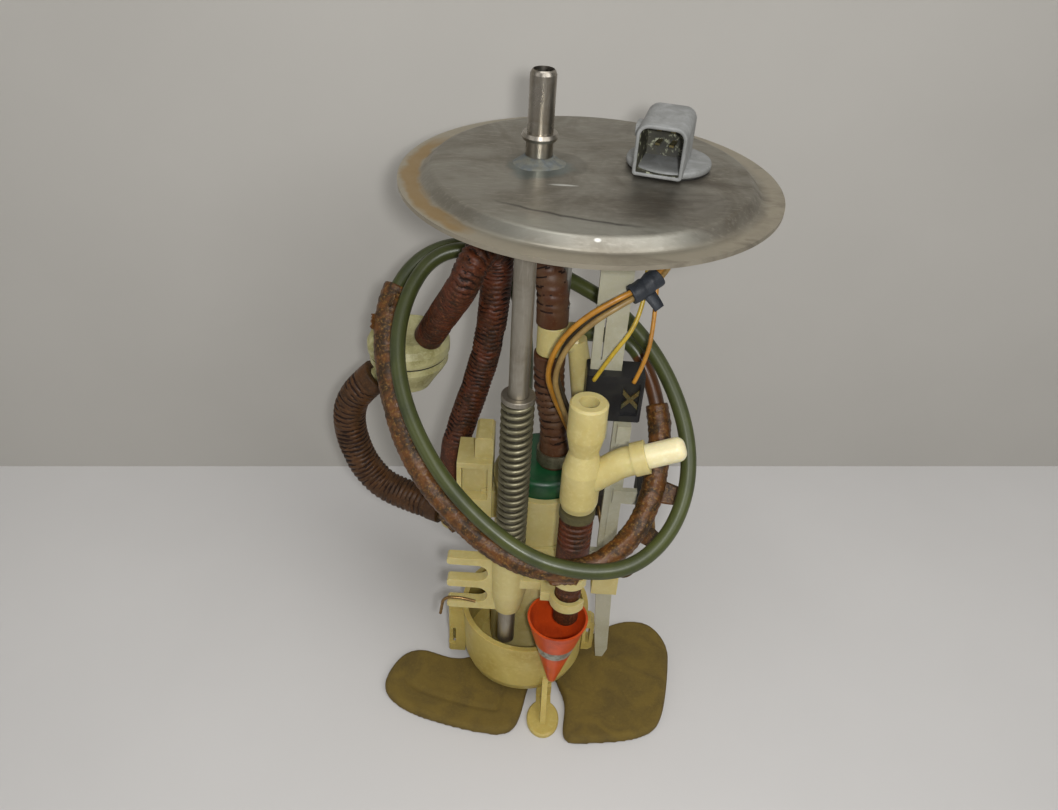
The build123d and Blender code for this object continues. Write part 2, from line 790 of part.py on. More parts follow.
def ripples(r, low, high, pitch):
    """Outline points of a corrugated wall between two heights."""
    count = round((high - low) / pitch)
    step = (high - low) / count
    points = []
    for i in range(count):
        base = low + i * step
        points += [
            (r, base + 0.1 * step), (r, base + 0.45 * step),
            (r - ripple_depth, base + 0.65 * step), (r - ripple_depth, base + 0.9 * step),
        ]
    return points


def drain_hose():
    """Hose with a fine corrugated top, a plain waist and wide grooves near its lower end."""
    top = tee_bottom - drain_seal_t
    r = drain_hose_d / 2
    end_r = drain_end_d / 2
    spigot_r = (barb_d - 0.1) / 2
    between_claws = claw_levels[0] + claw_h + 0.6
    outline = [(2.7, drain_bottom), (end_r - 0.4, drain_bottom), (end_r, drain_bottom + 0.8)]
    outline += ripples(end_r, between_claws, claw_levels[1] - 0.2, wide_ripple_pitch)
    outline += [(end_r, drain_step), (r, drain_step + 1.2)]
    outline += ripples(r, drain_step + 12, top - 2.0, ripple_pitch)
    outline += [(r, top), (spigot_r, top), (spigot_r, tee_bottom + 6), (2.7, tee_bottom + 6)]
    return turned([(radius, level(h)) for radius, h in outline], tee_x, tee_y)


def cap_cone():
    r = cone_d / 2
    tip_r = cone_tip_d / 2
    outline = [
        (0, level(cone_tip)), (tip_r - 0.6, level(cone_tip)), (tip_r, level(cone_tip) + 1),
        (r, level(cone_top)),
        (r - cone_wall, level(cone_top)), (tip_r - 0.2, level(cone_tip) + 5), (0, level(cone_tip) + 5),
    ]
    return turned(outline, cone_x, cone_y)


# Pressure regulator

def regulator_cup():
    r = reg_d / 2
    outline = [
        (0, reg_bottom), (7.5, reg_bottom), (9.5, reg_bottom + 1.5), (11.5, reg_bottom + 5),
        (r - 2.4, reg_seam - 6),
        (r - 0.8, reg_seam - 3), (r - 0.8, reg_seam), (r - 3.2, reg_seam), (r - 4.6, reg_seam - 5),
        (9.5, reg_bottom + 6), (0, reg_bottom + 4),
    ]
    body = turned([(x, level(h)) for x, h in outline], reg_x, reg_y)
    return body + rod_between(tuple(reg_outlet(0)), tuple(reg_outlet(11)), nipple_d)


def reg_outlet(reach):
    """Point on the lower nipple's axis, at a distance from its root in the wall."""
    return Vector(reg_x - 11, reg_y, level(reg_bottom + 7.6)) + Vector(-13.5, 0, -12.5).normalized() * reach


def reg_inlet(reach):
    """Point on the upper nipple's axis, at a distance from its root in the cap."""
    return Vector(reg_x + 8, reg_y - 5, level(reg_top - 3)) + Vector(12.4, -15, 28).normalized() * reach


def regulator_cap():
    r = reg_d / 2
    low = reg_seam + reg_seal_t
    outline = [
        (0, low), (r - 0.6, low), (r, low + 1.5), (r, low + 5), (r - 1.6, reg_top - 2.0), (r - 5.0, reg_top),
        (0, reg_top),
    ]
    body = turned([(x, level(h)) for x, h in outline], reg_x, reg_y)
    return body + rod_between(tuple(reg_inlet(0)), tuple(reg_inlet(12)), nipple_d)


def regulator_seal():
    return ring(reg_x, reg_y, reg_seam, reg_seam + reg_seal_t, reg_d - 2.4, reg_d - 9.0)


def regulator_valve():
    """Spring cup that the diaphragm lifts, inside the regulator."""
    plate = disc(reg_x, reg_y, reg_seam - 1.4, reg_seam - 0.1, 22.0)
    return plate + disc(reg_x, reg_y, reg_bottom + 5.2, reg_seam - 1.4, 7.0)


# Outlet tee and hoses

def outlet_tee():
    x = outlet_tee_x
    y = outlet_tee_y
    body = disc(x, y, outlet_tee_bottom, outlet_tee_top, outlet_tee_d)
    body = fillet(body.edges(), 1.2)
    body += disc(x, y, outlet_tee_bottom - 8, outlet_tee_bottom + 1, barb_d)
    body += disc(x, y, outlet_tee_top - 1, outlet_tee_top + 8, supply_bore - 0.1)
    side = level(outlet_tee_bottom + 5)
    body += rod_between((x, y, side), (x + 11, y, side), 8.0)
    start = Vector(x + 10.8, y, side)
    base = Plane(start, z_dir=Vector(5.7, 0, -30).normalized())
    cone = loft([base.offset(-2) * Circle(4.0), base.offset(26) * Circle(5.4)])
    cone += extrude(base.offset(26) * Circle(5.4), 6)
    body += fillet(cone.faces().sort_by(Axis.Z)[0].edges(), 2.0)
    socket_start = tee_line_point(0)
    body += rod_between(tuple(socket_start), tuple(tee_line_point(line_socket_depth + 6)), line_socket_d)
    body -= rod_between(tuple(tee_line_point(6)), tuple(tee_line_point(30)), line_d + 2 * line_gap)
    return body - disc(x, y, outlet_tee_bottom - 9, outlet_tee_top + 9, 4.6)


def tee_line_point(reach):
    """Point on the axis of the socket for the nylon line."""
    outward = Vector(0.86, 0.42, -0.2).normalized()
    return Vector(outlet_tee_x, outlet_tee_y, level(outlet_tee_top - 4.8)) + outward * reach


def outlet_hose():
    rise = outlet_tee_bottom - pump_top
    points = [
        (outlet_x, outlet_y, pump_top + 0.2), (outlet_x, outlet_y, pump_top + 0.39 * rise),
        (outlet_tee_x, outlet_tee_y, pump_top + 0.69 * rise),
        (outlet_tee_x, outlet_tee_y, outlet_tee_bottom - 0.1),
    ]
    return bent_tube(at_floor(points), hose_d, hose_bore)


def supply_hose():
    tube_end = seat_height - port_below
    drop = tube_end - outlet_tee_top
    points = [
        (port_x, port_y, seat_height - 0.5), (port_x, port_y, tube_end - 0.18 * drop),
        (outlet_tee_x, outlet_tee_y, tube_end - 0.61 * drop),
        (outlet_tee_x, outlet_tee_y, outlet_tee_top + 0.1),
    ]
    return bent_tube(at_floor(points), hose_d, supply_bore)


def arch_hose():
    start = reg_inlet(6.5)
    corner = reg_inlet(28)
    points = [
        (-46.0, -10.0, arch_crest - 14.9), (-41.5, -7.5, arch_crest - 3.0), (-35.9, 4.0, arch_crest),
        (-33.0, 13.2, arch_crest - 9.8), (-34.6, 11.5, 190.0), (-36.5, 12.0, 173.0), (-40.0, 12.0, 156.0),
        (-45.8, 10.0, 136.0), (manifold_x, manifold_y, manifold_top + 16.0),
        (manifold_x, manifold_y, manifold_top + 0.1),
    ]
    return bent_tube([tuple(start), tuple(corner)] + at_floor(points), arch_hose_d, small_bore)


def loop_hose():
    start = reg_outlet(5.8)
    corner = reg_outlet(20)
    points = [(-103.5, 24, 121.5), (-102.3, 24, 105), (-96.8, 22.5, 90), (-87, 19.5, 80.5)]
    end_corner = loop_port_point(24)
    end = loop_port_point(manifold_d / 2 + 0.3)
    route = [tuple(start), tuple(corner)] + at_floor(points) + [tuple(end_corner), tuple(end)]
    return bent_tube(route, loop_hose_d, small_bore)


def hose_clamp(x, y, mid, d):
    bore = d + 2 * clamp_gap
    return ring(x, y, mid - clamp_w / 2, mid + clamp_w / 2, bore + 2 * clamp_t, bore)


def outlet_clamp():
    return hose_clamp(outlet_x, outlet_y, pump_top + 5.0, hose_d)


# Nylon line, two turns, the second one in a split sleeve

line_points = [
    (-19, 15, 112), (-19, 15, 140), (-19.5, 18, 165), (-23, 21, 190), (-33, 22.9, 207), (-47, 22.5, 213),
    (-62, 18.5, 209), (-71, 6, 196), (-73, -9.5, 180.5), (-67, -26, 164), (-53, -43, 147), (-35, -56, 134),
    (-14, -66, 124), (8, -69.5, 121), (27, -67.5, 123), (41, -58, 132), (48, -45, 145), (48, -31, 159),
    (42, -17, 173), (31, -3.5, 186.5), (15, 8, 198), (-4, 16, 204.5), (-24, 28, 208), (-45, 33, 210),
    (-62, 30, 207.5), (-74, 21, 199), (-79, 9, 187), (-77.5, -4, 174), (-70.5, -22, 156), (-59, -38.5, 140),
    (-42, -51, 127), (-24, -60, 118), (-6, -63.5, 114.5), (12, -62.5, 116.5), (26, -54, 123),
    (34.5, -42.5, 134), (38, -27.5, 149.5), (36.5, -14, 163.5), (31, -3, 175), (23, 4.5, 184),
]
sleeve_start = line_points[26]
sleeve_end = line_points[38]


def nylon_line():
    return bent_tube(line_route(), line_d)


def line_route():
    """The nylon line's corners, ending inside the sockets at its two ends."""
    start = at_floor(line_points)
    return start + [tuple(tee_line_point(22)), tuple(tee_line_point(6.1))]


def split_sleeve():
    """Sleeve on the second turn, from the middle of one run to the middle of another."""
    points = line_route()
    radii = route_radii(points)
    first = line_points.index(sleeve_start)
    last = line_points.index(sleeve_end)
    start = (Vector(*points[first - 1]) + Vector(*points[first])) / 2
    end = (Vector(*points[last]) + Vector(*points[last + 1])) / 2
    middle = points[first:last + 1]
    route = [tuple(start)] + middle + [tuple(end)]
    corner_radii = radii[first - 1:last]
    return bent_tube(route, sleeve_d, line_d + 2 * sleeve_gap, corner_radii)


# Level sender

def sender_housing():
    y0 = strip_y - sender_l / 2
    body = block(sender_x0, sender_x1, y0, y0 + sender_l, sender_bottom, sender_top)
    body = chamfer(body.edges().filter_by(Axis.Z), 0.8)
    slot = block(
        strip_x - strip_w / 2 - slide_gap, strip_x + strip_w / 2 + slide_gap,
        strip_y - strip_t / 2 - slide_gap, strip_y + strip_t / 2 + slide_gap,
        sender_bottom - 5, sender_top + 5,
    )
    recess = block(sender_x1 - 8.4, sender_x1 - 1.6, y0 - 1, y0 + 1.4, sender_bottom + 3, sender_top - 3)
    return body - slot - recess


def sender_contacts():
    y0 = strip_y - sender_l / 2 + 0.2
    mid = (sender_bottom + sender_top) / 2
    place = Pos(sender_x1 - 5, y0 + 0.6, level(mid))
    first = place * Rot(0, 48, 0) * Box(14.0, 0.9, 1.6)
    second = place * Rot(0, -48, 0) * Box(14.0, 0.9, 1.6)
    keep = block(sender_x1 - 8.2, sender_x1 - 1.8, y0 - 1, y0 + 1.1, sender_bottom + 3.2, sender_top - 3.2)
    return (first + second) & keep


def sender_rail():
    """Moulded rail from the sender down to the foot of the cup, leaning out past the rim."""
    head_top = sender_bottom - 0.1
    side = [
        (rail_top_x - rail_w / 2, level(head_top)), (rail_top_x + rail_w / 2, level(head_top)),
        (rail_top_x + rail_w / 2 + 1.0, level(100)), (rail_foot_x + rail_w / 2, level(rail_bottom + 6)),
        (rail_foot_x + rail_w / 2 - 2.0, level(rail_bottom)),
        (rail_foot_x - rail_w / 2 + 1.6, level(rail_bottom)),
        (rail_foot_x - rail_w / 2, level(rail_bottom + 14)), (rail_top_x - rail_w / 2, level(92)),
    ]
    face = make_face(Plane.XZ * Polyline(*side, close=True))
    plate = Pos(0, rail_y + rail_t / 2, 0) * extrude(face, rail_t)
    head = block(
        strip_x + strip_w / 2 + 0.6, rail_top_x + rail_w / 2, rail_y - rail_t / 2, strip_y + 4,
        head_top - 9, head_top,
    )
    pivot_arm = block(
        rail_top_x, pivot_x - 3.9, rail_y - rail_t / 2, rail_y + rail_t / 2,
        pivot_level - 3.5, pivot_level + 3.5,
    )
    rib = block(rail_top_x - 0.8, rail_top_x + 0.8, rail_y + 1, rail_y + 4.2, 60, head_top - 1)
    tie = block(rail_top_x - 14, rail_top_x, rail_y - rail_t / 2, rail_y + rail_t / 2, 84, 92)
    tie -= disc(pump_x, pump_y, 70, 120, 2 * (shell_r + bracket_gap + bracket_wall) + 0.2)
    return plate + head + pivot_arm + rib + tie


def rail_clip():
    low = 66.0
    x = rail_top_x + (rail_foot_x - rail_top_x) * 0.32
    y_front = rail_y - rail_t / 2 - 0.1
    y_back = rail_y + rail_t / 2 + 2
    front = block(x - 5.6, x + 6.2, y_front - 1.8, y_front, low, low + 11)
    left = block(x - 5.6, x - 4.2, y_front, y_back, low, low + 11)
    right = block(x + 4.9, x + 6.2, y_front, y_back, low, low + 11)
    return front + left + right


def pivot_block():
    body = block(pivot_x - 3.8, pivot_x + 3.8, rail_y - 2.2, pivot_y - 1.4, pivot_level - 5, pivot_level + 5)
    body = fillet(body.edges().filter_by(Axis.Y), 1.4)
    front = (pivot_x, rail_y - 5, level(pivot_level))
    back = (pivot_x, 0, level(pivot_level))
    return body - rod_between(front, back, pivot_d + 2 * arm_fit)


arm_points = [
    (0.6, 0.2, -2.0), (8.0, 0.2, -25.0), (9.4, 0.2, -38.0), (7.0, 0.2, -50.0), (1.0, 1.0, -63.0),
    (-3.0, 6.0, -69.0), (-7.5, 16.0, -66.0), (-12.0, 29.0, -57.0), (-14.0, 37.0, -51.0),
    (-14.0, 49.0, -51.0),
]


def on_pivot(y):
    """Point on the arm's axis."""
    return (pivot_x, y, level(pivot_level))


def arm_wire(d):
    """The bent wire of the arm, drawn with a given diameter."""
    start = Vector(*on_pivot(pivot_y))
    route = []
    for x, y, z in arm_points:
        route.append(tuple(start + Vector(x, y, z)))
    return bent_tube(route, d)


def float_arm():
    pin = rod_between(on_pivot(rail_y - 2.6), on_pivot(pivot_y + 1.2), pivot_d)
    head = rod_between(on_pivot(rail_y - 3.4), on_pivot(rail_y - 2.4), pivot_d + 2.6)
    hub = rod_between(on_pivot(pivot_y - 1.2), on_pivot(pivot_y + 1.8), 6.4)
    return pin + head + hub + arm_wire(arm_wire_d)


def float_body():
    x, y, z = arm_points[-1]
    middle = Pos(pivot_x + x - 5, pivot_y + y - float_l / 2 + 0.5, level(pivot_level) + z)
    body = middle * Box(float_w, float_l, float_h)
    body = fillet(body.edges().filter_by(Axis.Y), 3.4)
    return body - arm_wire(arm_wire_d + 0.1)


# Wires

bundle_points = [
    (31, 4, 246.1), (33.5, -5, 237), (31.0, -15, 229), (22.5, -22.8, 223), (12.5, -27.0, 218.5),
    (2, -28.0, 210.5), (-6.0, -27.5, 199), (-9.2, -26.5, 185), (-6.0, -24.5, 173.5), (-1.0, -21.5, 160),
    (3.2, -18.0, 147), (4.6, -14.6, pump_top + 4.1),
]
tape_point = bundle_points[3]
tape_d = 7.4
tape_bore = 5.2


def wire_route(points, angle):
    """Bundle route moved sideways, so that the wires lie beside each other."""
    moved = []
    last = len(points) - 1
    for i, point in enumerate(points):
        along = (Vector(*points[min(i + 1, last)]) - Vector(*points[max(i - 1, 0)])).normalized()
        across = along.cross(Vector(0, 1, 0)).normalized()
        up = along.cross(across)
        moved.append(tuple(Vector(*point) + (across * cos(angle) + up * sin(angle)) * wire_spread))
    return moved


def pump_wires():
    wires = []
    for turn in range(3):
        wires.append(bent_tube(wire_route(at_floor(bundle_points), 2 * pi / 3 * turn), wire_d))
    return Compound(wires)


def sender_wires():
    front = strip_y - sender_l / 2 - wire_d / 2 - 0.1
    end_level = sender_top - 1.5
    first = [
        (24, 4, 246.1), (24, -6, 236), (23.6, -14, 227), (23.4, -19, 216), (20.0, -25, 206),
        (13.0, -27.2, 196), (7.4, front, end_level),
    ]
    second = [
        (26.6, 6, 246.1), (27.4, -5, 235), (28.0, -13, 222), (28.2, -19.6, 207), (27.0, -25, 194),
        (23.0, front, end_level),
    ]
    return Compound([bent_tube(at_floor(first), wire_d), bent_tube(at_floor(second), wire_d)])


parts = {
    "cover_plate": cover_plate,
    "supply_tube": supply_tube,
    "braze_collar": braze_collar,
    "socket_housing": socket_housing,
    "socket_blades": socket_blades,
    "socket_gasket": socket_gasket,
    "guide_rod": guide_rod,
    "stop_ring": stop_ring,
    "vent_stub": vent_stub,
    "guide_strip": guide_strip,
    "tape_wrap": tape_wrap,
    "coil_spring": coil_spring,
    "reservoir_cup": reservoir_cup,
    "filter_sock": filter_sock,
    "sock_collar": sock_collar,
    "pump_inlet_base": pump_inlet_base,
    "pump_can": pump_can,
    "pump_outlet_cap": pump_outlet_cap,
    "rubber_boot": rubber_boot,
    "pump_magnets": pump_magnets,
    "pump_brushes": pump_brushes,
    "brush_card": brush_card,
    "armature": armature,
    "rotor_shaft": rotor_shaft,
    "impeller": impeller,
    "impeller_chamber": impeller_chamber,
    "pump_holder": pump_holder,
    "return_port": return_port,
    "guide_bracket": guide_bracket,
    "port_block": port_block,
    "wire_hook": wire_hook,
    "t_fitting": t_fitting,
    "t_side_pin": t_side_pin,
    "drain_seal": drain_seal,
    "drain_hose": drain_hose,
    "cap_cone": cap_cone,
    "regulator_cup": regulator_cup,
    "regulator_cap": regulator_cap,
    "regulator_seal": regulator_seal,
    "regulator_valve": regulator_valve,
    "outlet_tee": outlet_tee,
    "outlet_hose": outlet_hose,
    "supply_hose": supply_hose,
    "arch_hose": arch_hose,
    "loop_hose": loop_hose,
    "outlet_clamp": outlet_clamp,
    "nylon_line": nylon_line,
    "split_sleeve": split_sleeve,
    "sender_housing": sender_housing,
    "sender_contacts": sender_contacts,
    "sender_rail": sender_rail,
    "rail_clip": rail_clip,
    "pivot_block": pivot_block,
    "float_arm": float_arm,
    "float_body": float_body,
    "pump_wires": pump_wires,
    "sender_wires": sender_wires,
}

os.makedirs("parts", exist_ok=True)
for name, make in parts.items():
    shape = make()
    print(name, len(shape.solids()))
    export_step(Compound(shape.solids()), f"parts/{name}.step")
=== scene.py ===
import math

import bpy
from mathutils import Matrix, Vector, noise


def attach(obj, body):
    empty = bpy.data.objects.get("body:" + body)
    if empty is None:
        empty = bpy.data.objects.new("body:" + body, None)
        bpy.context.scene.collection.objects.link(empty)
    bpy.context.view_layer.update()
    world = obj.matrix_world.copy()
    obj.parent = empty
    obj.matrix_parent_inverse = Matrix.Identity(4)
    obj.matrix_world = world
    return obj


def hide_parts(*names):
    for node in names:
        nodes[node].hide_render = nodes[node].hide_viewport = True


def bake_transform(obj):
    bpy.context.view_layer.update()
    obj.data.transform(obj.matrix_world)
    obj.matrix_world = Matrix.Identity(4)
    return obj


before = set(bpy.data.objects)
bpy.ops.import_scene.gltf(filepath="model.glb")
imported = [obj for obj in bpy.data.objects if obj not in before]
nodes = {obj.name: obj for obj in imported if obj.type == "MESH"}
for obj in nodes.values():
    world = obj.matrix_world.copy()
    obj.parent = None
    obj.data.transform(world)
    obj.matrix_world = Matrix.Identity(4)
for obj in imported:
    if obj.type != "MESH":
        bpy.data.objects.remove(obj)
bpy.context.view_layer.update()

seatHeight = 253.0   # mm from the floor to the cover's sealing plane, which is z = 0


def at(x, y, height):
    # millimetres, height above the floor, to the frame's metres
    return Vector((x / 1000, y / 1000, (height - seatHeight) / 1000))


def linear(hexCode):
    # sRGB hex to the linear values that Blender wants
    values = [int(hexCode[i:i + 2], 16) / 255 for i in (1, 3, 5)]
    return tuple(v / 12.92 if v <= 0.04045 else ((v + 0.055) / 1.055) ** 2.4 for v in values) + (1.0,)


def put(tree, kind, links=None, **settings):
    # adds a node: settings go on the node, links go into its inputs as values or as sockets
    node = tree.nodes.new(kind)
    for name, value in settings.items():
        setattr(node, name, value)
    for name, value in (links or {}).items():
        if isinstance(value, bpy.types.NodeSocket):
            tree.links.new(value, node.inputs[name])
        else:
            node.inputs[name].default_value = value
    return node


def startMaterial(name):
    # an empty node material, and the place on the piece, in metres, that its patterns go by
    material = bpy.data.materials.new(name)
    material.use_nodes = True
    tree = material.node_tree
    tree.nodes.clear()
    return material, tree, put(tree, "ShaderNodeTexCoord").outputs["Object"]


def finishMaterial(material, tree, links):
    skin = put(tree, "ShaderNodeBsdfPrincipled", links)
    put(tree, "ShaderNodeOutputMaterial", {"Surface": skin.outputs[0]})
    return material


def mixed(tree, mask, under, over):
    # colour between two, by a mask from 0 to 1
    return put(tree, "ShaderNodeMix", {0: mask, 6: under, 7: over}, data_type="RGBA").outputs[2]


def ramp(tree, value, low, high, toLow=0.0, toHigh=1.0):
    # a value spread from one span to another and held at its ends
    return put(tree, "ShaderNodeMapRange", {
        "Value": value, "From Min": low, "From Max": high, "To Min": toLow, "To Max": toHigh}).outputs[0]


def mottle(tree, place, sizeMm, detail, roughness=0.5, distortion=0.0):
    # noise whose features are about so many millimetres on the real part
    return put(tree, "ShaderNodeTexNoise", {
        "Vector": place, "Scale": 1000 / sizeMm, "Detail": detail, "Roughness": roughness,
        "Distortion": distortion}).outputs["Fac"]


# Camera, as the photograph was taken: from the front, a bit above, tilted a little
print("camera")
view = {"place": (-17.2, -303.7, 371.6), "down": 36.09, "roll": 3.6, "focalPixels": 860, "imageWidth": 1058}

cameraData = bpy.data.cameras.new("photoCamera")
cameraData.sensor_width = 36
cameraData.lens = 36 * view["focalPixels"] / view["imageWidth"]
cameraData.clip_start = 0.01
camera = bpy.data.objects.new("photoCamera", cameraData)
bpy.context.scene.collection.objects.link(camera)
down = math.radians(view["down"])
roll = math.radians(view["roll"])
levelRight = Vector((1, 0, 0))
levelUp = Vector((0, math.sin(down), math.cos(down)))
lookRight = math.cos(roll) * levelRight + math.sin(roll) * levelUp
lookUp = math.cos(roll) * levelUp - math.sin(roll) * levelRight
turnedTo = Matrix((lookRight, lookUp, lookRight.cross(lookUp))).transposed().to_4x4()
camera.matrix_world = Matrix.Translation(at(*view["place"])) @ turnedTo
bpy.context.scene.camera = camera
bpy.context.scene.view_settings.view_transform = "Standard"

# Floor, wall and lights. The wall stands a little turned behind the module, as in the photograph.
print("stage")
stageLook = {
    "floor": "#cac8c6", "floorCloud": "#c1bfbd", "wall": "#b9b6b0", "wallCloud": "#b0ada7", "cloudMm": 111.1,
    "wallAt": 138.4, "wallTurn": 5.56, "size": 3.0, "room": "#e6e4e0", "roomStrength": 0.27}


def plainPaper(name, hexCode, cloudCode, openBehind=False):
    # matt paper, faintly uneven. The wall is open from behind, so that the views from there show the part.
    material, tree, place = startMaterial(name)
    tone = mixed(tree, mottle(tree, place, stageLook["cloudMm"], 3.0), linear(hexCode), linear(cloudCode))
    skin = put(tree, "ShaderNodeBsdfPrincipled", {"Base Color": tone, "Roughness": 0.85})
    if openBehind:
        side = put(tree, "ShaderNodeNewGeometry").outputs["Backfacing"]
        clear = put(tree, "ShaderNodeBsdfTransparent")
        skin = put(tree, "ShaderNodeMixShader", {0: side, 1: skin.outputs[0], 2: clear.outputs[0]})
    put(tree, "ShaderNodeOutputMaterial", {"Surface": skin.outputs[0]})
    return material


def sheetOf(name, corners, material):
    mesh = bpy.data.meshes.new(name)
    mesh.from_pydata(corners, [], [(0, 1, 2, 3)])
    mesh.materials.append(material)
    sheet = bpy.data.objects.new(name, mesh)
    bpy.context.scene.collection.objects.link(sheet)


half = stageLook["size"]
floorZ = -seatHeight / 1000 - 0.0002   # a hair below the cup's foot
wallMiddle = stageLook["wallAt"] / 1000
wallSlant = half * math.tan(math.radians(stageLook["wallTurn"]))
wallLeft = (-half, wallMiddle - wallSlant)
wallRight = (half, wallMiddle + wallSlant)
sheetOf("floor", [(-half, -half, floorZ), (half, -half, floorZ), (half, half, floorZ), (-half, half, floorZ)],
        plainPaper("floorPaper", stageLook["floor"], stageLook["floorCloud"]))
sheetOf("wall", [(*wallLeft, floorZ), (*wallRight, floorZ), (*wallRight, half), (*wallLeft, half)],
        plainPaper("wallPaper", stageLook["wall"], stageLook["wallCloud"], openBehind=True))

lamps = {   # places in metres, all turned to the middle of the part
    "softboxRight": {"place": (0.75, -0.75, 0.75), "size": 0.9, "power": 5.4},
    "softboxLeft": {"place": (-0.95, -0.7, 0.35), "size": 0.9, "power": 1.8},
    "topPanel": {"place": (0.1, -0.15, 1.1), "size": 1.1, "power": 6.2},
    "frontLamp": {"place": (0.004, -0.33, 0.135), "size": 0.022, "power": 0.85},
}
partMiddle = Vector((0, 0, -0.1))
for name, lamp in lamps.items():
    lampData = bpy.data.lights.new(name, "AREA")
    lampData.shape = "DISK"
    lampData.size = lamp["size"]
    lampData.energy = lamp["power"]
    lampObject = bpy.data.objects.new(name, lampData)
    lampObject.location = lamp["place"]
    lampObject.rotation_euler = (partMiddle - Vector(lamp["place"])).to_track_quat("-Z", "Y").to_euler()
    bpy.context.scene.collection.objects.link(lampObject)
world = bpy.data.worlds.new("room")
world.use_nodes = True
world.node_tree.nodes["Background"].inputs["Color"].default_value = linear(stageLook["room"])
world.node_tree.nodes["Background"].inputs["Strength"].default_value = stageLook["roomStrength"]
bpy.context.scene.world = world


# Materials. Every size in a pattern is in millimetres on the real part.
print("materials")


def surface(name, look):
    # one layered finish: base colour, large stains, fine specks, uneven shine and fine relief
    material, tree, place = startMaterial(name)
    stretch = look.get("stretch", (1, 1, 1))
    stretched = put(tree, "ShaderNodeMapping", {"Vector": place, "Scale": stretch}).outputs[0]
    patches = mottle(tree, place, look["patchMm"], 4.0, 0.6, 0.6)
    specks = mottle(tree, stretched, look["speckMm"], 3.0, 0.65)
    grain = mottle(tree, stretched, look["grainMm"], 4.0, 0.6)
    patchMask = ramp(tree, patches, look["patchFrom"], look["patchTo"])
    speckMask = ramp(tree, specks, look["speckFrom"], look["speckTo"])
    colour = mixed(tree, patchMask, linear(look["base"]), linear(look["stain"]))
    colour = mixed(tree, speckMask, colour, linear(look["speck"]))
    relief = put(tree, "ShaderNodeBump", {
        "Height": grain, "Strength": look["relief"], "Distance": look["reliefMm"] / 1000})
    links = {
        "Base Color": colour, "Roughness": ramp(tree, patches, 0.3, 0.7, *look["roughness"]),
        "Normal": relief.outputs[0], "Metallic": look.get("metallic", 0.0)}
    if "ior" in look:
        links["IOR"] = look["ior"]
    if "gloss" in look:
        links["Specular IOR Level"] = look["gloss"]
    if "milky" in look:   # light goes about 2 mm into the plastic, red furthest
        links.update({"Subsurface Weight": look["milky"], "Subsurface Radius": (1.0, 0.7, 0.35),
                      "Subsurface Scale": 0.002})
    return finishMaterial(material, tree, links)


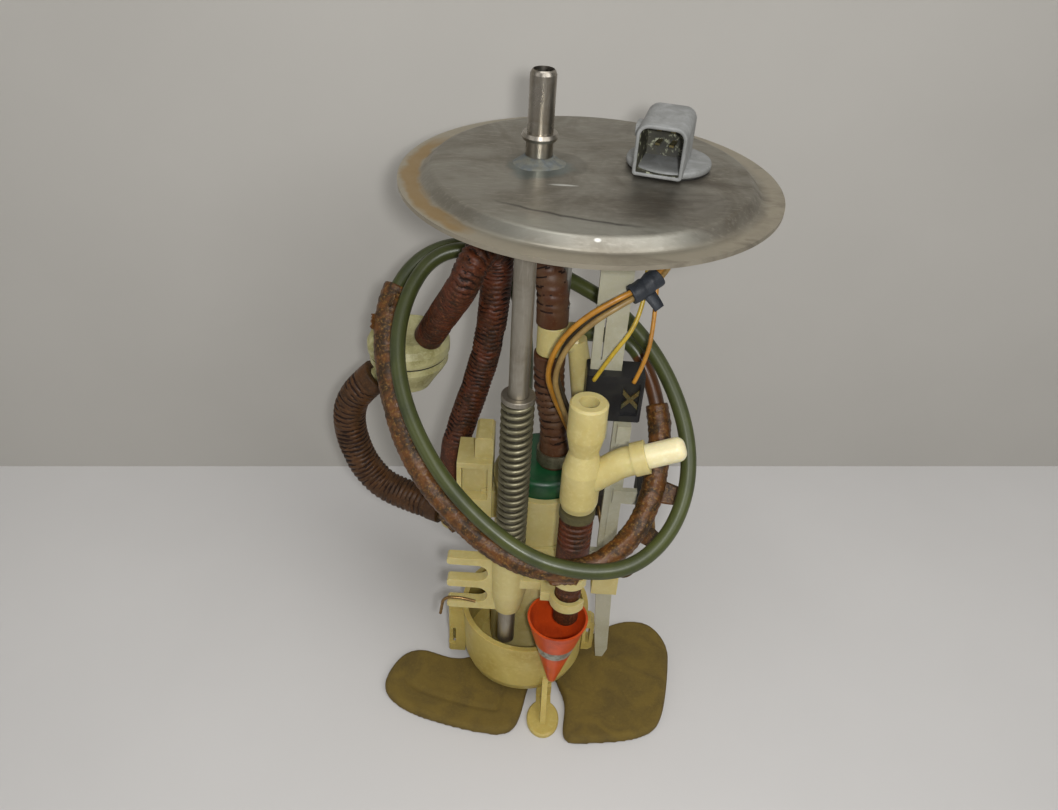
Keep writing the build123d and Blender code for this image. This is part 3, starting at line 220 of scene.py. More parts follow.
finishes = {
    # nickel-plated drawn tube: smooth, warm grey, fine lines along its length
    "nickelPlatedTube": {
        "base": "#a29c92", "stain": "#877e70", "speck": "#b3aea5", "patchMm": 9, "patchFrom": 0.45, "patchTo": 0.75,
        "speckMm": 0.7, "speckFrom": 0.5, "speckTo": 0.9, "grainMm": 0.35, "relief": 0.15, "reliefMm": 0.02,
        "roughness": (0.22, 0.38), "metallic": 1.0, "stretch": (1.0, 1.0, 0.12)},
    # cold-drawn steel bar: dull grey with faint lines along it
    "drawnSteelBar": {
        "base": "#a09a8e", "stain": "#877f71", "speck": "#b0aa9e", "patchMm": 14, "patchFrom": 0.4, "patchTo": 0.75,
        "speckMm": 0.6, "speckFrom": 0.5, "speckTo": 0.9, "grainMm": 0.4, "relief": 0.2, "reliefMm": 0.02,
        "roughness": (0.36, 0.5), "metallic": 0.95, "stretch": (1.0, 1.0, 0.08)},
    # zinc-plated music wire gone yellowish
    "springWire": {
        "base": "#827d66", "stain": "#655f48", "speck": "#9c977f", "patchMm": 5, "patchFrom": 0.4, "patchTo": 0.7,
        "speckMm": 0.5, "speckFrom": 0.5, "speckTo": 0.9, "grainMm": 0.4, "relief": 0.2, "reliefMm": 0.02,
        "roughness": (0.4, 0.58), "metallic": 0.85},
    # acetal, injection moulded and aged in fuel: cream, milky, soft shine
    "agedAcetal": {
        "base": "#c0b278", "stain": "#b09e5b", "speck": "#ccc08a", "patchMm": 24, "patchFrom": 0.42, "patchTo": 0.8,
        "speckMm": 2.2, "speckFrom": 0.5, "speckTo": 0.95, "grainMm": 0.7, "relief": 0.12, "reliefMm": 0.04,
        "roughness": (0.36, 0.5), "ior": 1.48, "milky": 0.45},
    # the same acetal in the cup, soaked deeper yellow where fuel stood
    "soakedAcetal": {
        "base": "#bba963", "stain": "#a38d44", "speck": "#c8b876", "patchMm": 24, "patchFrom": 0.38, "patchTo": 0.75,
        "speckMm": 2.2, "speckFrom": 0.5, "speckTo": 0.95, "grainMm": 0.7, "relief": 0.12, "reliefMm": 0.04,
        "roughness": (0.36, 0.5), "ior": 1.48, "milky": 0.5},
    # natural nylon, injection moulded: whiter and more see-through than the acetal
    "naturalNylon": {
        "base": "#e2d8ae", "stain": "#d6ca98", "speck": "#e8e0bd", "patchMm": 18, "patchFrom": 0.42, "patchTo": 0.75,
        "speckMm": 1.4, "speckFrom": 0.5, "speckTo": 0.85, "grainMm": 0.7, "relief": 0.1, "reliefMm": 0.04,
        "roughness": (0.3, 0.45), "ior": 1.53, "milky": 0.35},
    # natural polypropylene strip: pale grey, waxy
    "waxyPolypropylene": {
        "base": "#a9a691", "stain": "#979278", "speck": "#b5b3a1", "patchMm": 18, "patchFrom": 0.42, "patchTo": 0.75,
        "speckMm": 1.2, "speckFrom": 0.55, "speckTo": 0.9, "grainMm": 0.6, "relief": 0.1, "reliefMm": 0.03,
        "roughness": (0.38, 0.52), "ior": 1.49, "milky": 0.15},
    # regulator shell, glass-filled nylon: cream-green, slightly rough
    "glassFilledNylon": {
        "base": "#b6b181", "stain": "#8e8853", "speck": "#c3bf94", "patchMm": 12, "patchFrom": 0.42, "patchTo": 0.64,
        "speckMm": 1.0, "speckFrom": 0.5, "speckTo": 0.85, "grainMm": 0.5, "relief": 0.2, "reliefMm": 0.05,
        "roughness": (0.42, 0.58), "ior": 1.53, "milky": 0.15},
    # glass-filled polyester inside the socket, near-black as painted shade in its mouth, with white-green corrosion
    "mouthShadeAndCorrosion": {
        "base": "#242319", "stain": "#3a3828", "speck": "#a3a58c", "patchMm": 4, "patchFrom": 0.42, "patchTo": 0.7,
        "speckMm": 2.6, "speckFrom": 0.56, "speckTo": 0.68, "grainMm": 0.5, "relief": 0.4, "reliefMm": 0.15,
        "roughness": (0.5, 0.7), "ior": 1.57},
    # black moulded acetal
    "blackAcetal": {
        "base": "#161618", "stain": "#24231f", "speck": "#34332f", "patchMm": 8, "patchFrom": 0.45, "patchTo": 0.75,
        "speckMm": 0.7, "speckFrom": 0.65, "speckTo": 0.95, "grainMm": 0.5, "relief": 0.15, "reliefMm": 0.03,
        "roughness": (0.34, 0.5), "ior": 1.48},
    # green moulded nylon end cap
    "greenNylon": {
        "base": "#1a4c2b", "stain": "#143a25", "speck": "#27633a", "patchMm": 8, "patchFrom": 0.45, "patchTo": 0.75,
        "speckMm": 0.8, "speckFrom": 0.6, "speckTo": 0.9, "grainMm": 0.5, "relief": 0.12, "reliefMm": 0.03,
        "roughness": (0.3, 0.45), "ior": 1.53},
    # nitrile rubber
    "nitrileRubber": {
        "base": "#1b1a19", "stain": "#2b2824", "speck": "#3a3631", "patchMm": 5, "patchFrom": 0.45, "patchTo": 0.75,
        "speckMm": 0.5, "speckFrom": 0.6, "speckTo": 0.9, "grainMm": 0.4, "relief": 0.2, "reliefMm": 0.04,
        "roughness": (0.55, 0.75), "ior": 1.52},
    # fluorocarbon rubber seal, olive
    "oliveSeal": {
        "base": "#565034", "stain": "#443f2a", "speck": "#6a6342", "patchMm": 5, "patchFrom": 0.45, "patchTo": 0.75,
        "speckMm": 0.5, "speckFrom": 0.6, "speckTo": 0.9, "grainMm": 0.4, "relief": 0.2, "reliefMm": 0.04,
        "roughness": (0.5, 0.7), "ior": 1.4},
    # blow-moulded nylon convoluted hose, stained red-brown by fuel varnish
    "varnishedHose": {
        "base": "#522510", "stain": "#2f1b0b", "speck": "#7a4826", "patchMm": 9, "patchFrom": 0.36, "patchTo": 0.64,
        "speckMm": 0.9, "speckFrom": 0.52, "speckTo": 0.8, "grainMm": 0.5, "relief": 0.6, "reliefMm": 0.16,
        "roughness": (0.42, 0.64), "ior": 1.53, "gloss": 0.28},
    # darker in the grooves between the ribs: dried varnish, with painted shade, almost black
    "grooveVarnishAndShade": {
        "base": "#241006", "stain": "#150a04", "speck": "#3c2110", "patchMm": 6, "patchFrom": 0.4, "patchTo": 0.66,
        "speckMm": 0.8, "speckFrom": 0.55, "speckTo": 0.85, "grainMm": 0.5, "relief": 0.5, "reliefMm": 0.12,
        "roughness": (0.5, 0.7), "ior": 1.53, "gloss": 0.2},
    # the loop at the back, a browner and duller run of the same hose
    "brownHose": {
        "base": "#4c2f15", "stain": "#33200d", "speck": "#6f4e2a", "patchMm": 9, "patchFrom": 0.38, "patchTo": 0.66,
        "speckMm": 0.9, "speckFrom": 0.52, "speckTo": 0.9, "grainMm": 0.5, "relief": 0.35, "reliefMm": 0.08,
        "roughness": (0.4, 0.6), "ior": 1.53, "gloss": 0.28},
    # the same hose where the varnish is thinner and the grey-brown plastic shows
    "greyBrownHose": {
        "base": "#4a2a16", "stain": "#563d28", "speck": "#6c5036", "patchMm": 11, "patchFrom": 0.4, "patchTo": 0.7,
        "speckMm": 0.9, "speckFrom": 0.55, "speckTo": 0.9, "grainMm": 0.5, "relief": 0.4, "reliefMm": 0.1,
        "roughness": (0.36, 0.56), "ior": 1.53, "gloss": 0.3},
    # extruded nylon fuel line: olive green, smooth
    "oliveNylonLine": {
        "base": "#434823", "stain": "#32381d", "speck": "#575c32", "patchMm": 18, "patchFrom": 0.4, "patchTo": 0.72,
        "speckMm": 1.0, "speckFrom": 0.6, "speckTo": 0.9, "grainMm": 0.8, "relief": 0.1, "reliefMm": 0.03,
        "roughness": (0.3, 0.44), "ior": 1.53, "gloss": 0.35},
    # the same line inside its sleeve, soaked brown
    "stainedLine": {
        "base": "#56341a", "stain": "#402912", "speck": "#6e4b29", "patchMm": 12, "patchFrom": 0.4, "patchTo": 0.72,
        "speckMm": 0.9, "speckFrom": 0.6, "speckTo": 0.9, "grainMm": 0.6, "relief": 0.2, "reliefMm": 0.05,
        "roughness": (0.3, 0.46), "ior": 1.53},
    # split convoluted sleeve, polyethylene, rust-brown and mottled with varnish
    "mottledSleeve": {
        "base": "#5d3815", "stain": "#31200b", "speck": "#86642f", "patchMm": 5, "patchFrom": 0.42, "patchTo": 0.6,
        "speckMm": 1.1, "speckFrom": 0.52, "speckTo": 0.75, "grainMm": 0.9, "relief": 0.7, "reliefMm": 0.3,
        "roughness": (0.34, 0.58), "ior": 1.5, "gloss": 0.35},
    # brass blades and contacts, tarnished
    "tarnishedBrass": {
        "base": "#8c7a4e", "stain": "#5e6a58", "speck": "#b09c66", "patchMm": 3, "patchFrom": 0.42, "patchTo": 0.7,
        "speckMm": 0.4, "speckFrom": 0.5, "speckTo": 0.85, "grainMm": 0.3, "relief": 0.3, "reliefMm": 0.04,
        "roughness": (0.3, 0.55), "metallic": 0.9},
    # copper braze and flux stain round the tube's foot
    "brazeStain": {
        "base": "#74756c", "stain": "#63696a", "speck": "#5f5240", "patchMm": 3.5, "patchFrom": 0.42, "patchTo": 0.62,
        "speckMm": 0.6, "speckFrom": 0.55, "speckTo": 0.85, "grainMm": 0.4, "relief": 0.5, "reliefMm": 0.08,
        "roughness": (0.38, 0.62), "metallic": 0.45},
    # copper-clad steel arm wire
    "armWire": {
        "base": "#8a6d45", "stain": "#5f4b30", "speck": "#a5885c", "patchMm": 4, "patchFrom": 0.42, "patchTo": 0.72,
        "speckMm": 0.4, "speckFrom": 0.55, "speckTo": 0.9, "grainMm": 0.3, "relief": 0.15, "reliefMm": 0.02,
        "roughness": (0.28, 0.45), "metallic": 0.9},
    # deep-drawn bare steel of the pump's can
    "drawnCanSteel": {
        "base": "#a3a29c", "stain": "#8b887f", "speck": "#b5b4ae", "patchMm": 15, "patchFrom": 0.42, "patchTo": 0.72,
        "speckMm": 0.7, "speckFrom": 0.55, "speckTo": 0.9, "grainMm": 0.4, "relief": 0.15, "reliefMm": 0.02,
        "roughness": (0.26, 0.4), "metallic": 1.0, "stretch": (1.0, 1.0, 0.2)},
    # sintered ferrite and pressed carbon inside the pump
    "ferrite": {
        "base": "#2c2a29", "stain": "#393633", "speck": "#4a4744", "patchMm": 6, "patchFrom": 0.45, "patchTo": 0.75,
        "speckMm": 0.5, "speckFrom": 0.6, "speckTo": 0.9, "grainMm": 0.3, "relief": 0.2, "reliefMm": 0.03,
        "roughness": (0.5, 0.7)},
    # closed-cell nitrile foam float
    "foamFloat": {
        "base": "#2d2721", "stain": "#3b342b", "speck": "#171412", "patchMm": 6, "patchFrom": 0.45, "patchTo": 0.75,
        "speckMm": 0.7, "speckFrom": 0.55, "speckTo": 0.8, "grainMm": 0.6, "relief": 0.6, "reliefMm": 0.2,
        "roughness": (0.7, 0.9), "ior": 1.5},
    # cloth tape, black
    "clothTape": {
        "base": "#20242a", "stain": "#2e333a", "speck": "#3d434a", "patchMm": 4, "patchFrom": 0.45, "patchTo": 0.75,
        "speckMm": 0.4, "speckFrom": 0.5, "speckTo": 0.8, "grainMm": 0.35, "relief": 0.5, "reliefMm": 0.08,
        "roughness": (0.45, 0.65), "ior": 1.5},
    # cross-linked insulation on the wires
    "orangeInsulation": {
        "base": "#b07a24", "stain": "#94641f", "speck": "#c2903a", "patchMm": 6, "patchFrom": 0.42, "patchTo": 0.72,
        "speckMm": 0.8, "speckFrom": 0.6, "speckTo": 0.9, "grainMm": 0.5, "relief": 0.1, "reliefMm": 0.02,
        "roughness": (0.32, 0.46), "ior": 1.5},
    "tanInsulation": {
        "base": "#927846", "stain": "#785f35", "speck": "#a99060", "patchMm": 6, "patchFrom": 0.42, "patchTo": 0.72,
        "speckMm": 0.8, "speckFrom": 0.6, "speckTo": 0.9, "grainMm": 0.5, "relief": 0.1, "reliefMm": 0.02,
        "roughness": (0.32, 0.46), "ior": 1.5},
    "darkInsulation": {
        "base": "#2f271c", "stain": "#3f3524", "speck": "#54472f", "patchMm": 6, "patchFrom": 0.42, "patchTo": 0.72,
        "speckMm": 0.8, "speckFrom": 0.6, "speckTo": 0.9, "grainMm": 0.5, "relief": 0.1, "reliefMm": 0.02,
        "roughness": (0.3, 0.44), "ior": 1.5},
    "yellowInsulation": {
        "base": "#b79a2c", "stain": "#937a26", "speck": "#cbb04a", "patchMm": 6, "patchFrom": 0.42, "patchTo": 0.72,
        "speckMm": 0.8, "speckFrom": 0.6, "speckTo": 0.9, "grainMm": 0.5, "relief": 0.1, "reliefMm": 0.02,
        "roughness": (0.32, 0.46), "ior": 1.5},
}
materials = {name: surface(name, look) for name, look in finishes.items()}


def filterFelt():
    # needle-punched polyester strainer: olive-brown fuzz of crossed fibres, dark where varnish soaked in
    look = {"base": "#66531c", "stain": "#524218", "fibre": "#8b7634", "fibreMm": 0.6, "patchMm": 14, "fuzzMm": 0.3}
    material, tree, place = startMaterial("filterFelt")
    patches = mottle(tree, place, look["patchMm"], 5.0, distortion=1.0)
    fibres = mottle(tree, place, look["fibreMm"], 8.0, 0.75, 2.5)
    colour = mixed(tree, ramp(tree, patches, 0.4, 0.7), linear(look["base"]), linear(look["stain"]))
    colour = mixed(tree, ramp(tree, fibres, 0.5, 0.75), colour, linear(look["fibre"]))
    relief = put(tree, "ShaderNodeBump", {"Height": fibres, "Strength": 0.7, "Distance": look["fuzzMm"] / 1000})
    return finishMaterial(material, tree, {"Base Color": colour, "Roughness": 0.88, "Normal": relief.outputs[0]})


def maths(tree, operation, first, second=None):
    links = {0: first}
    if second is not None:
        links[1] = second
    return put(tree, "ShaderNodeMath", links, operation=operation).outputs[0]


def times(tree, first, second):
    return maths(tree, "MULTIPLY", first, second)


def distance(tree, dx, dy):
    return maths(tree, "SQRT", maths(tree, "ADD", times(tree, dx, dx), times(tree, dy, dy)))


def between(tree, value, low, high, edge):
    # 1 inside a band in millimetres of a value in metres, falling to 0 over the edge on each side
    rise = ramp(tree, value, (low - edge) / 1000, (low + edge) / 1000)
    fall = ramp(tree, value, (high - edge) / 1000, (high + edge) / 1000, 1.0, 0.0)
    return times(tree, rise, fall)


def spotMask(tree, x, y, spot, ragged, edge):
    # 1 inside a round or long spot on the cover, given as middle x, y and half sizes in millimetres
    middleX, middleY, halfX, halfY = spot
    dx = maths(tree, "DIVIDE", maths(tree, "SUBTRACT", x, middleX / 1000), halfX / 1000)
    dy = maths(tree, "DIVIDE", maths(tree, "SUBTRACT", y, middleY / 1000), halfY / 1000)
    return ramp(tree, maths(tree, "ADD", distance(tree, dx, dy), ragged), 1 + edge, 1 - edge)


def coverSteel():
    # zinc-plated cold-rolled steel, stamped and used: satin grey, tan varnish on the left rim, painted highlight in
    # front and along the rim, dull blotches, painted shade along a crease across the front and a stained ring round the
    # tube
    look = {
        "base": "#8f8b80", "cloud": "#767064", "fine": "#a6a196", "rim": "#b4ab98", "tan": "#a08455",
        "blotch": "#4b4238", "dark": "#4b4238", "crease": "#2e2a25", "ring": "#66635a", "crust": "#6f7a78",
        "paintedSheen": "#a5a49a", "scratch": "#d6d6d0", "cloudMm": 30, "fineMm": 1.2, "blotchMm": 15, "edgeMm": 9,
        "rimFrom": 60.5, "rimTo": 65.5, "tanFrom": 62.6, "tanTo": 68.0, "tanEdge": 0.9,
        "tanRight": (-36, -47), "tanBack": (36, 22), "blotchLeft": (-20, 30),
        "creaseLine": (-47.9, -46.6, 0.6), "creaseSpan": (-30, 13, 6), "creaseSlope": 0.19, "creaseBow": 5.0,
        "strength": {
            "paintedSheen": 0.6, "rim": 0.75, "tan": 0.85, "blotch": 0.5, "dark": 0.3, "crease": 0.85, "ring": 0.45,
            "crust": 0.7, "scratch": 0.85},
        "ringSpot": (-16.3, 0.5, 15, 14), "crustSpot": (-18.6, -4.0, 10.5, 10), "darkSpot": (24, -32, 30, 13),
        "paintedHighlightSpot": (-2, -52, 36, 6.5), "nick": (0.7, -59, 1.1, 0.5), "scratchSpot": (-10.5, -18.9, 4.5, 0.7)}
    material, tree, place = startMaterial("coverSteel")
    metres = put(tree, "ShaderNodeSeparateXYZ", {0: place})
    x, y = metres.outputs["X"], metres.outputs["Y"]
    stretched = put(tree, "ShaderNodeMapping", {"Vector": place, "Scale": (0.25, 1.0, 1.0)}).outputs[0]
    clouds = mottle(tree, place, look["cloudMm"], 6.0, 0.62, 1.2)
    fine = mottle(tree, stretched, look["fineMm"], 4.0, 0.65)
    wander = maths(tree, "SUBTRACT", mottle(tree, place, look["edgeMm"], 5.0), 0.5)   # makes edges ragged

    def over(colour, mask, name):
        # a stain laid over, through its mask
        return mixed(tree, times(tree, mask, look["strength"][name]), colour, linear(look[name]))

    def spot(name, ragged, edge):
        return spotMask(tree, x, y, look[name], times(tree, wander, ragged), edge)

    colour = mixed(tree, ramp(tree, clouds, 0.42, 0.66), linear(look["base"]), linear(look["cloud"]))
    colour = mixed(tree, ramp(tree, fine, 0.52, 0.85), colour, linear(look["fine"]))
    # painted highlight: a brighter band in front, and a lighter band along the rim that stands in for the highlight on
    # its edge
    colour = over(colour, spot("paintedHighlightSpot", 1.2, 0.35), "paintedSheen")
    radius = distance(tree, x, y)
    colour = over(colour, ramp(tree, radius, look["rimFrom"] / 1000, look["rimTo"] / 1000), "rim")
    # tan varnish: an arc along the left part of the rim's inner side
    ragged = maths(tree, "ADD", radius, times(tree, wander, 0.006))
    arc = between(tree, ragged, look["tanFrom"], look["tanTo"], look["tanEdge"])
    raggedX = maths(tree, "ADD", x, times(tree, wander, 0.02))
    leftSide = ramp(tree, raggedX, *(limit / 1000 for limit in look["tanRight"]))
    notBack = ramp(tree, y, *(limit / 1000 for limit in look["tanBack"]))
    colour = over(colour, times(tree, times(tree, arc, leftSide), notBack), "tan")
    # dull brown blotches towards the right, and one long dark patch
    shifted = put(tree, "ShaderNodeMapping", {
        "Vector": place, "Location": (0.031, 0.007, 0), "Scale": (0.5, 1.0, 1.0)}).outputs[0]
    blotches = ramp(tree, mottle(tree, shifted, look["blotchMm"], 5.0, 0.6, 0.8), 0.5, 0.66)
    rightSide = ramp(tree, x, *(limit / 1000 for limit in look["blotchLeft"]))
    colour = over(colour, times(tree, blotches, rightSide), "blotch")
    colour = over(colour, spot("darkSpot", 2.2, 0.4), "dark")
    # crease: a thin line of painted shade that sags towards the front
    bow = times(tree, times(tree, x, x), look["creaseBow"])
    sag = maths(tree, "SUBTRACT", maths(tree, "ADD", y, times(tree, x, look["creaseSlope"])), bow)
    line = between(tree, maths(tree, "ADD", sag, times(tree, wander, 0.003)), *look["creaseLine"])
    crease = times(tree, times(tree, line, between(tree, x, *look["creaseSpan"])), look["strength"]["crease"])
    colour = mixed(tree, crease, colour, linear(look["crease"]))
    # stained ring and grey-green flux round the tube's foot, then two bright scratches
    colour = over(colour, spot("ringSpot", 0.35, 0.05), "ring")
    colour = over(colour, spot("crustSpot", 1.4, 0.16), "crust")
    for bright in ("nick", "scratchSpot"):
        colour = over(colour, spot(bright, 1.0, 0.3), "scratch")
    height = maths(tree, "SUBTRACT", fine, times(tree, crease, 4.0))
    relief = put(tree, "ShaderNodeBump", {"Height": height, "Strength": 0.22, "Distance": 0.00006}).outputs[0]
    return finishMaterial(material, tree, {
        "Base Color": colour, "Roughness": ramp(tree, clouds, 0.35, 0.65, 0.33, 0.5), "Normal": relief,
        "Metallic": 0.85})


def socketPlastic():
    # glass-filled polyester, moulded grey and chalky
    look = {"base": "#777876", "chalk": "#8d8e8d", "dust": "#62625c", "patchMm": 7, "dustMm": 1.0}
    material, tree, place = startMaterial("socketPlastic")
    patches = mottle(tree, place, look["patchMm"], 5.0, distortion=0.8)
    dust = mottle(tree, place, look["dustMm"], 5.0, 0.7)
    colour = mixed(tree, ramp(tree, patches, 0.42, 0.68), linear(look["base"]), linear(look["chalk"]))
    colour = mixed(tree, ramp(tree, dust, 0.56, 0.8), colour, linear(look["dust"]))
    relief = put(tree, "ShaderNodeBump", {"Height": dust, "Strength": 0.35, "Distance": 0.00012}).outputs[0]
    return finishMaterial(material, tree, {"Base Color": colour, "Roughness": 0.62, "Normal": relief, "IOR": 1.57})


def bandedCone():
    # orange polypropylene, injection moulded, with a worn grey band left bare of print
    look = {
        "base": "#c84a18", "deep": "#a83a16", "scuff": "#d9683a", "band": "#93948a", "bandWorn": "#6d675c",
        "bandFrom": 50.5, "bandTo": 56.5, "x": 1.5, "y": -49.5, "tip": 26.0, "tipRadius": 2.0, "top": 71.0,
        "topRadius": 13.5, "skin": 0.45, "patchMm": 9, "scuffMm": 1.1, "wornMm": 3.0}
    material, tree, place = startMaterial("bandedCone")
    patches = mottle(tree, place, look["patchMm"], 4.0, distortion=0.6)
    scuffs = mottle(tree, place, look["scuffMm"], 4.0, 0.65)
    worn = mottle(tree, place, look["wornMm"], 5.0, distortion=1.0)
    colour = mixed(tree, ramp(tree, patches, 0.42, 0.7), linear(look["base"]), linear(look["deep"]))
    colour = mixed(tree, ramp(tree, scuffs, 0.58, 0.85), colour, linear(look["scuff"]))
    bandColour = mixed(tree, ramp(tree, worn, 0.45, 0.62), linear(look["band"]), linear(look["bandWorn"]))
    metres = put(tree, "ShaderNodeSeparateXYZ", {0: place})
    height = metres.outputs["Z"]
    band = between(tree, height, look["bandFrom"] - seatHeight, look["bandTo"] - seatHeight, 0.1)
    # the band is on the outer face only, so near the radius that the cone has at this height
    dx = maths(tree, "SUBTRACT", metres.outputs["X"], look["x"] / 1000)
    dy = maths(tree, "SUBTRACT", metres.outputs["Y"], look["y"] / 1000)
    outerRadius = ramp(
        tree, height, (look["tip"] - seatHeight) / 1000, (look["top"] - seatHeight) / 1000,
        (look["tipRadius"] - look["skin"]) / 1000, (look["topRadius"] - look["skin"]) / 1000)
    outside = maths(tree, "GREATER_THAN", distance(tree, dx, dy), outerRadius)
    colour = mixed(tree, times(tree, band, outside), colour, bandColour)
    relief = put(tree, "ShaderNodeBump", {"Height": scuffs, "Strength": 0.12, "Distance": 0.00004}).outputs[0]
    return finishMaterial(material, tree, {"Base Color": colour, "Roughness": 0.34, "Normal": relief, "IOR": 1.49})


materials["filterFelt"] = filterFelt()
materials["coverSteel"] = coverSteel()
materials["socketPlastic"] = socketPlastic()
materials["bandedCone"] = bandedCone()

finishOf = {
    "cover_plate": "coverSteel", "supply_tube": "nickelPlatedTube", "braze_collar": "brazeStain",
    "socket_housing": "socketPlastic", "socket_blades": "tarnishedBrass", "socket_gasket": "nitrileRubber",
    "guide_rod": "drawnSteelBar", "stop_ring": "drawnSteelBar", "vent_stub": "drawnCanSteel",
    "guide_strip": "waxyPolypropylene", "tape_wrap": "clothTape", "coil_spring": "springWire",
    "reservoir_cup": "soakedAcetal", "filter_sock": "filterFelt", "sock_collar": "agedAcetal",
    "pump_inlet_base": "blackAcetal", "pump_can": "drawnCanSteel", "pump_outlet_cap": "greenNylon",
    "rubber_boot": "nitrileRubber", "pump_magnets": "ferrite", "pump_brushes": "ferrite", "brush_card": "blackAcetal",
    "armature": "ferrite", "rotor_shaft": "drawnSteelBar", "impeller": "blackAcetal",
    "impeller_chamber": "drawnCanSteel", "pump_holder": "agedAcetal", "return_port": "agedAcetal",
    "guide_bracket": "agedAcetal", "port_block": "agedAcetal", "wire_hook": "armWire",
    "t_fitting": "agedAcetal", "t_side_pin": "naturalNylon", "drain_seal": "oliveSeal",
    "drain_hose": "varnishedHose", "cap_cone": "bandedCone", "regulator_cup": "glassFilledNylon",
    "regulator_cap": "glassFilledNylon", "regulator_seal": "nitrileRubber", "regulator_valve": "drawnSteelBar",
    "outlet_tee": "agedAcetal", "outlet_hose": "varnishedHose", "supply_hose": "varnishedHose",
    "arch_hose": "varnishedHose", "loop_hose": "varnishedHose", "outlet_clamp": "springWire",
    "nylon_line": "oliveNylonLine", "split_sleeve": "mottledSleeve", "sender_housing": "blackAcetal",
    "sender_contacts": "tarnishedBrass", "sender_rail": "waxyPolypropylene", "rail_clip": "agedAcetal",
    "pivot_block": "blackAcetal", "float_arm": "armWire", "float_body": "foamFloat",
    "pump_wires": "tanInsulation", "sender_wires": "yellowInsulation",
}
for nodeName, finishName in finishOf.items():
    mesh = nodes[nodeName].data
    mesh.materials.clear()
    mesh.materials.append(materials[finishName])

# Pieces that follow a route
print("hoses and wires")


def splinePoints(name, corners):
    # the smooth line of a held tube, read back from its spline
    curve = bpy.data.curves.new(name, "CURVE")
    curve.dimensions = "3D"
    curve.resolution_u = 16
    spline = curve.splines.new("NURBS")
    spline.points.add(len(corners) - 1)
    for point, corner in zip(spline.points, corners):
        point.co = (*at(*corner), 1.0)
    spline.order_u = 3
    spline.use_endpoint_u = True
    holder = bpy.data.objects.new(name, curve)
    mesh = bpy.data.meshes.new_from_object(holder)
    points = [vertex.co.copy() for vertex in mesh.vertices]
    bpy.data.meshes.remove(mesh)
    bpy.data.objects.remove(holder)
    bpy.data.curves.remove(curve)
    return points


def stationsAlong(points, stepMm, fromShare=0.0, toShare=1.0):
    # places at even distances along the line, each with two directions square to it
    lengths = [0.0]
    for a, b in zip(points, points[1:]):
        lengths.append(lengths[-1] + (b - a).length)
    low = lengths[-1] * fromShare
    high = lengths[-1] * toShare
    count = max(2, round((high - low) * 1000 / stepMm))
    places = []
    segment = 0
    for i in range(count + 1):
        reach = min(low + (high - low) * i / count, lengths[-1])
        while segment < len(points) - 2 and lengths[segment + 1] < reach:
            segment += 1
        span = lengths[segment + 1] - lengths[segment]
        places.append(points[segment].lerp(points[segment + 1], (reach - lengths[segment]) / span))
    stations = []
    side = None
    for i, place in enumerate(places):
        along = (places[min(i + 1, count)] - places[max(i - 1, 0)]).normalized()
        if side is None:
            side = along.orthogonal().normalized()
        side = (side - along * side.dot(along)).normalized()
        stations.append((place, side.copy(), along.cross(side), (high - low) * 1000 * i / count))
    return stations


def addMesh(name, vertices, faces, materialNames, body, faceMaterial=None):
    mesh = bpy.data.meshes.new(name)
    mesh.from_pydata(vertices, [], faces)
    for materialName in materialNames:
        mesh.materials.append(materials[materialName])
    for i, polygon in enumerate(mesh.polygons):
        polygon.use_smooth = True
        if faceMaterial:
            polygon.material_index = faceMaterial[i]
    piece = bpy.data.objects.new(name, mesh)
    bpy.context.scene.collection.objects.link(piece)
    if body:
        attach(piece, body)
    return piece


def dressedMesh(piece):
    # the piece's modifiers made part of its mesh
    dressed = bpy.data.meshes.new_from_object(piece.evaluated_get(bpy.context.evaluated_depsgraph_get()))
    piece.modifiers.clear()
    piece.data = dressed
    return dressed


def tubeMesh(stations, radiusAt, sides, boreMm=0.0):
    # closed tube: outer wall with its own radius at each place, and a bore or flat ends
    vertices = []
    faces = []
    count = len(stations)
    angles = [2 * math.pi * k / sides for k in range(sides)]
    for place, side, other, reach in stations:
        for angle in angles:
            outward = side * math.cos(angle) + other * math.sin(angle)
            vertices.append(place + outward * radiusAt(reach, angle) / 1000)
    for i in range(count - 1):
        for k in range(sides):
            n = (k + 1) % sides
            faces.append((i * sides + k, i * sides + n, (i + 1) * sides + n, (i + 1) * sides + k))
    if not boreMm:
        faces.append(tuple(reversed(range(sides))))
        faces.append(tuple(range((count - 1) * sides, count * sides)))
        return vertices, faces
    base = len(vertices)
    for place, side, other, reach in stations:
        for angle in angles:
            vertices.append(place + (side * math.cos(angle) + other * math.sin(angle)) * boreMm / 2000)
    for i in range(count - 1):
        for k in range(sides):
            n = (k + 1) % sides
            a, b = base + i * sides, base + (i + 1) * sides
            faces.append((a + k, b + k, b + n, a + n))
    last = (count - 1) * sides
    for k in range(sides):
        n = (k + 1) % sides
        faces.append((k, base + k, base + n, n))
        faces.append((last + k, last + n, base + last + n, base + last + k))
    return vertices, faces


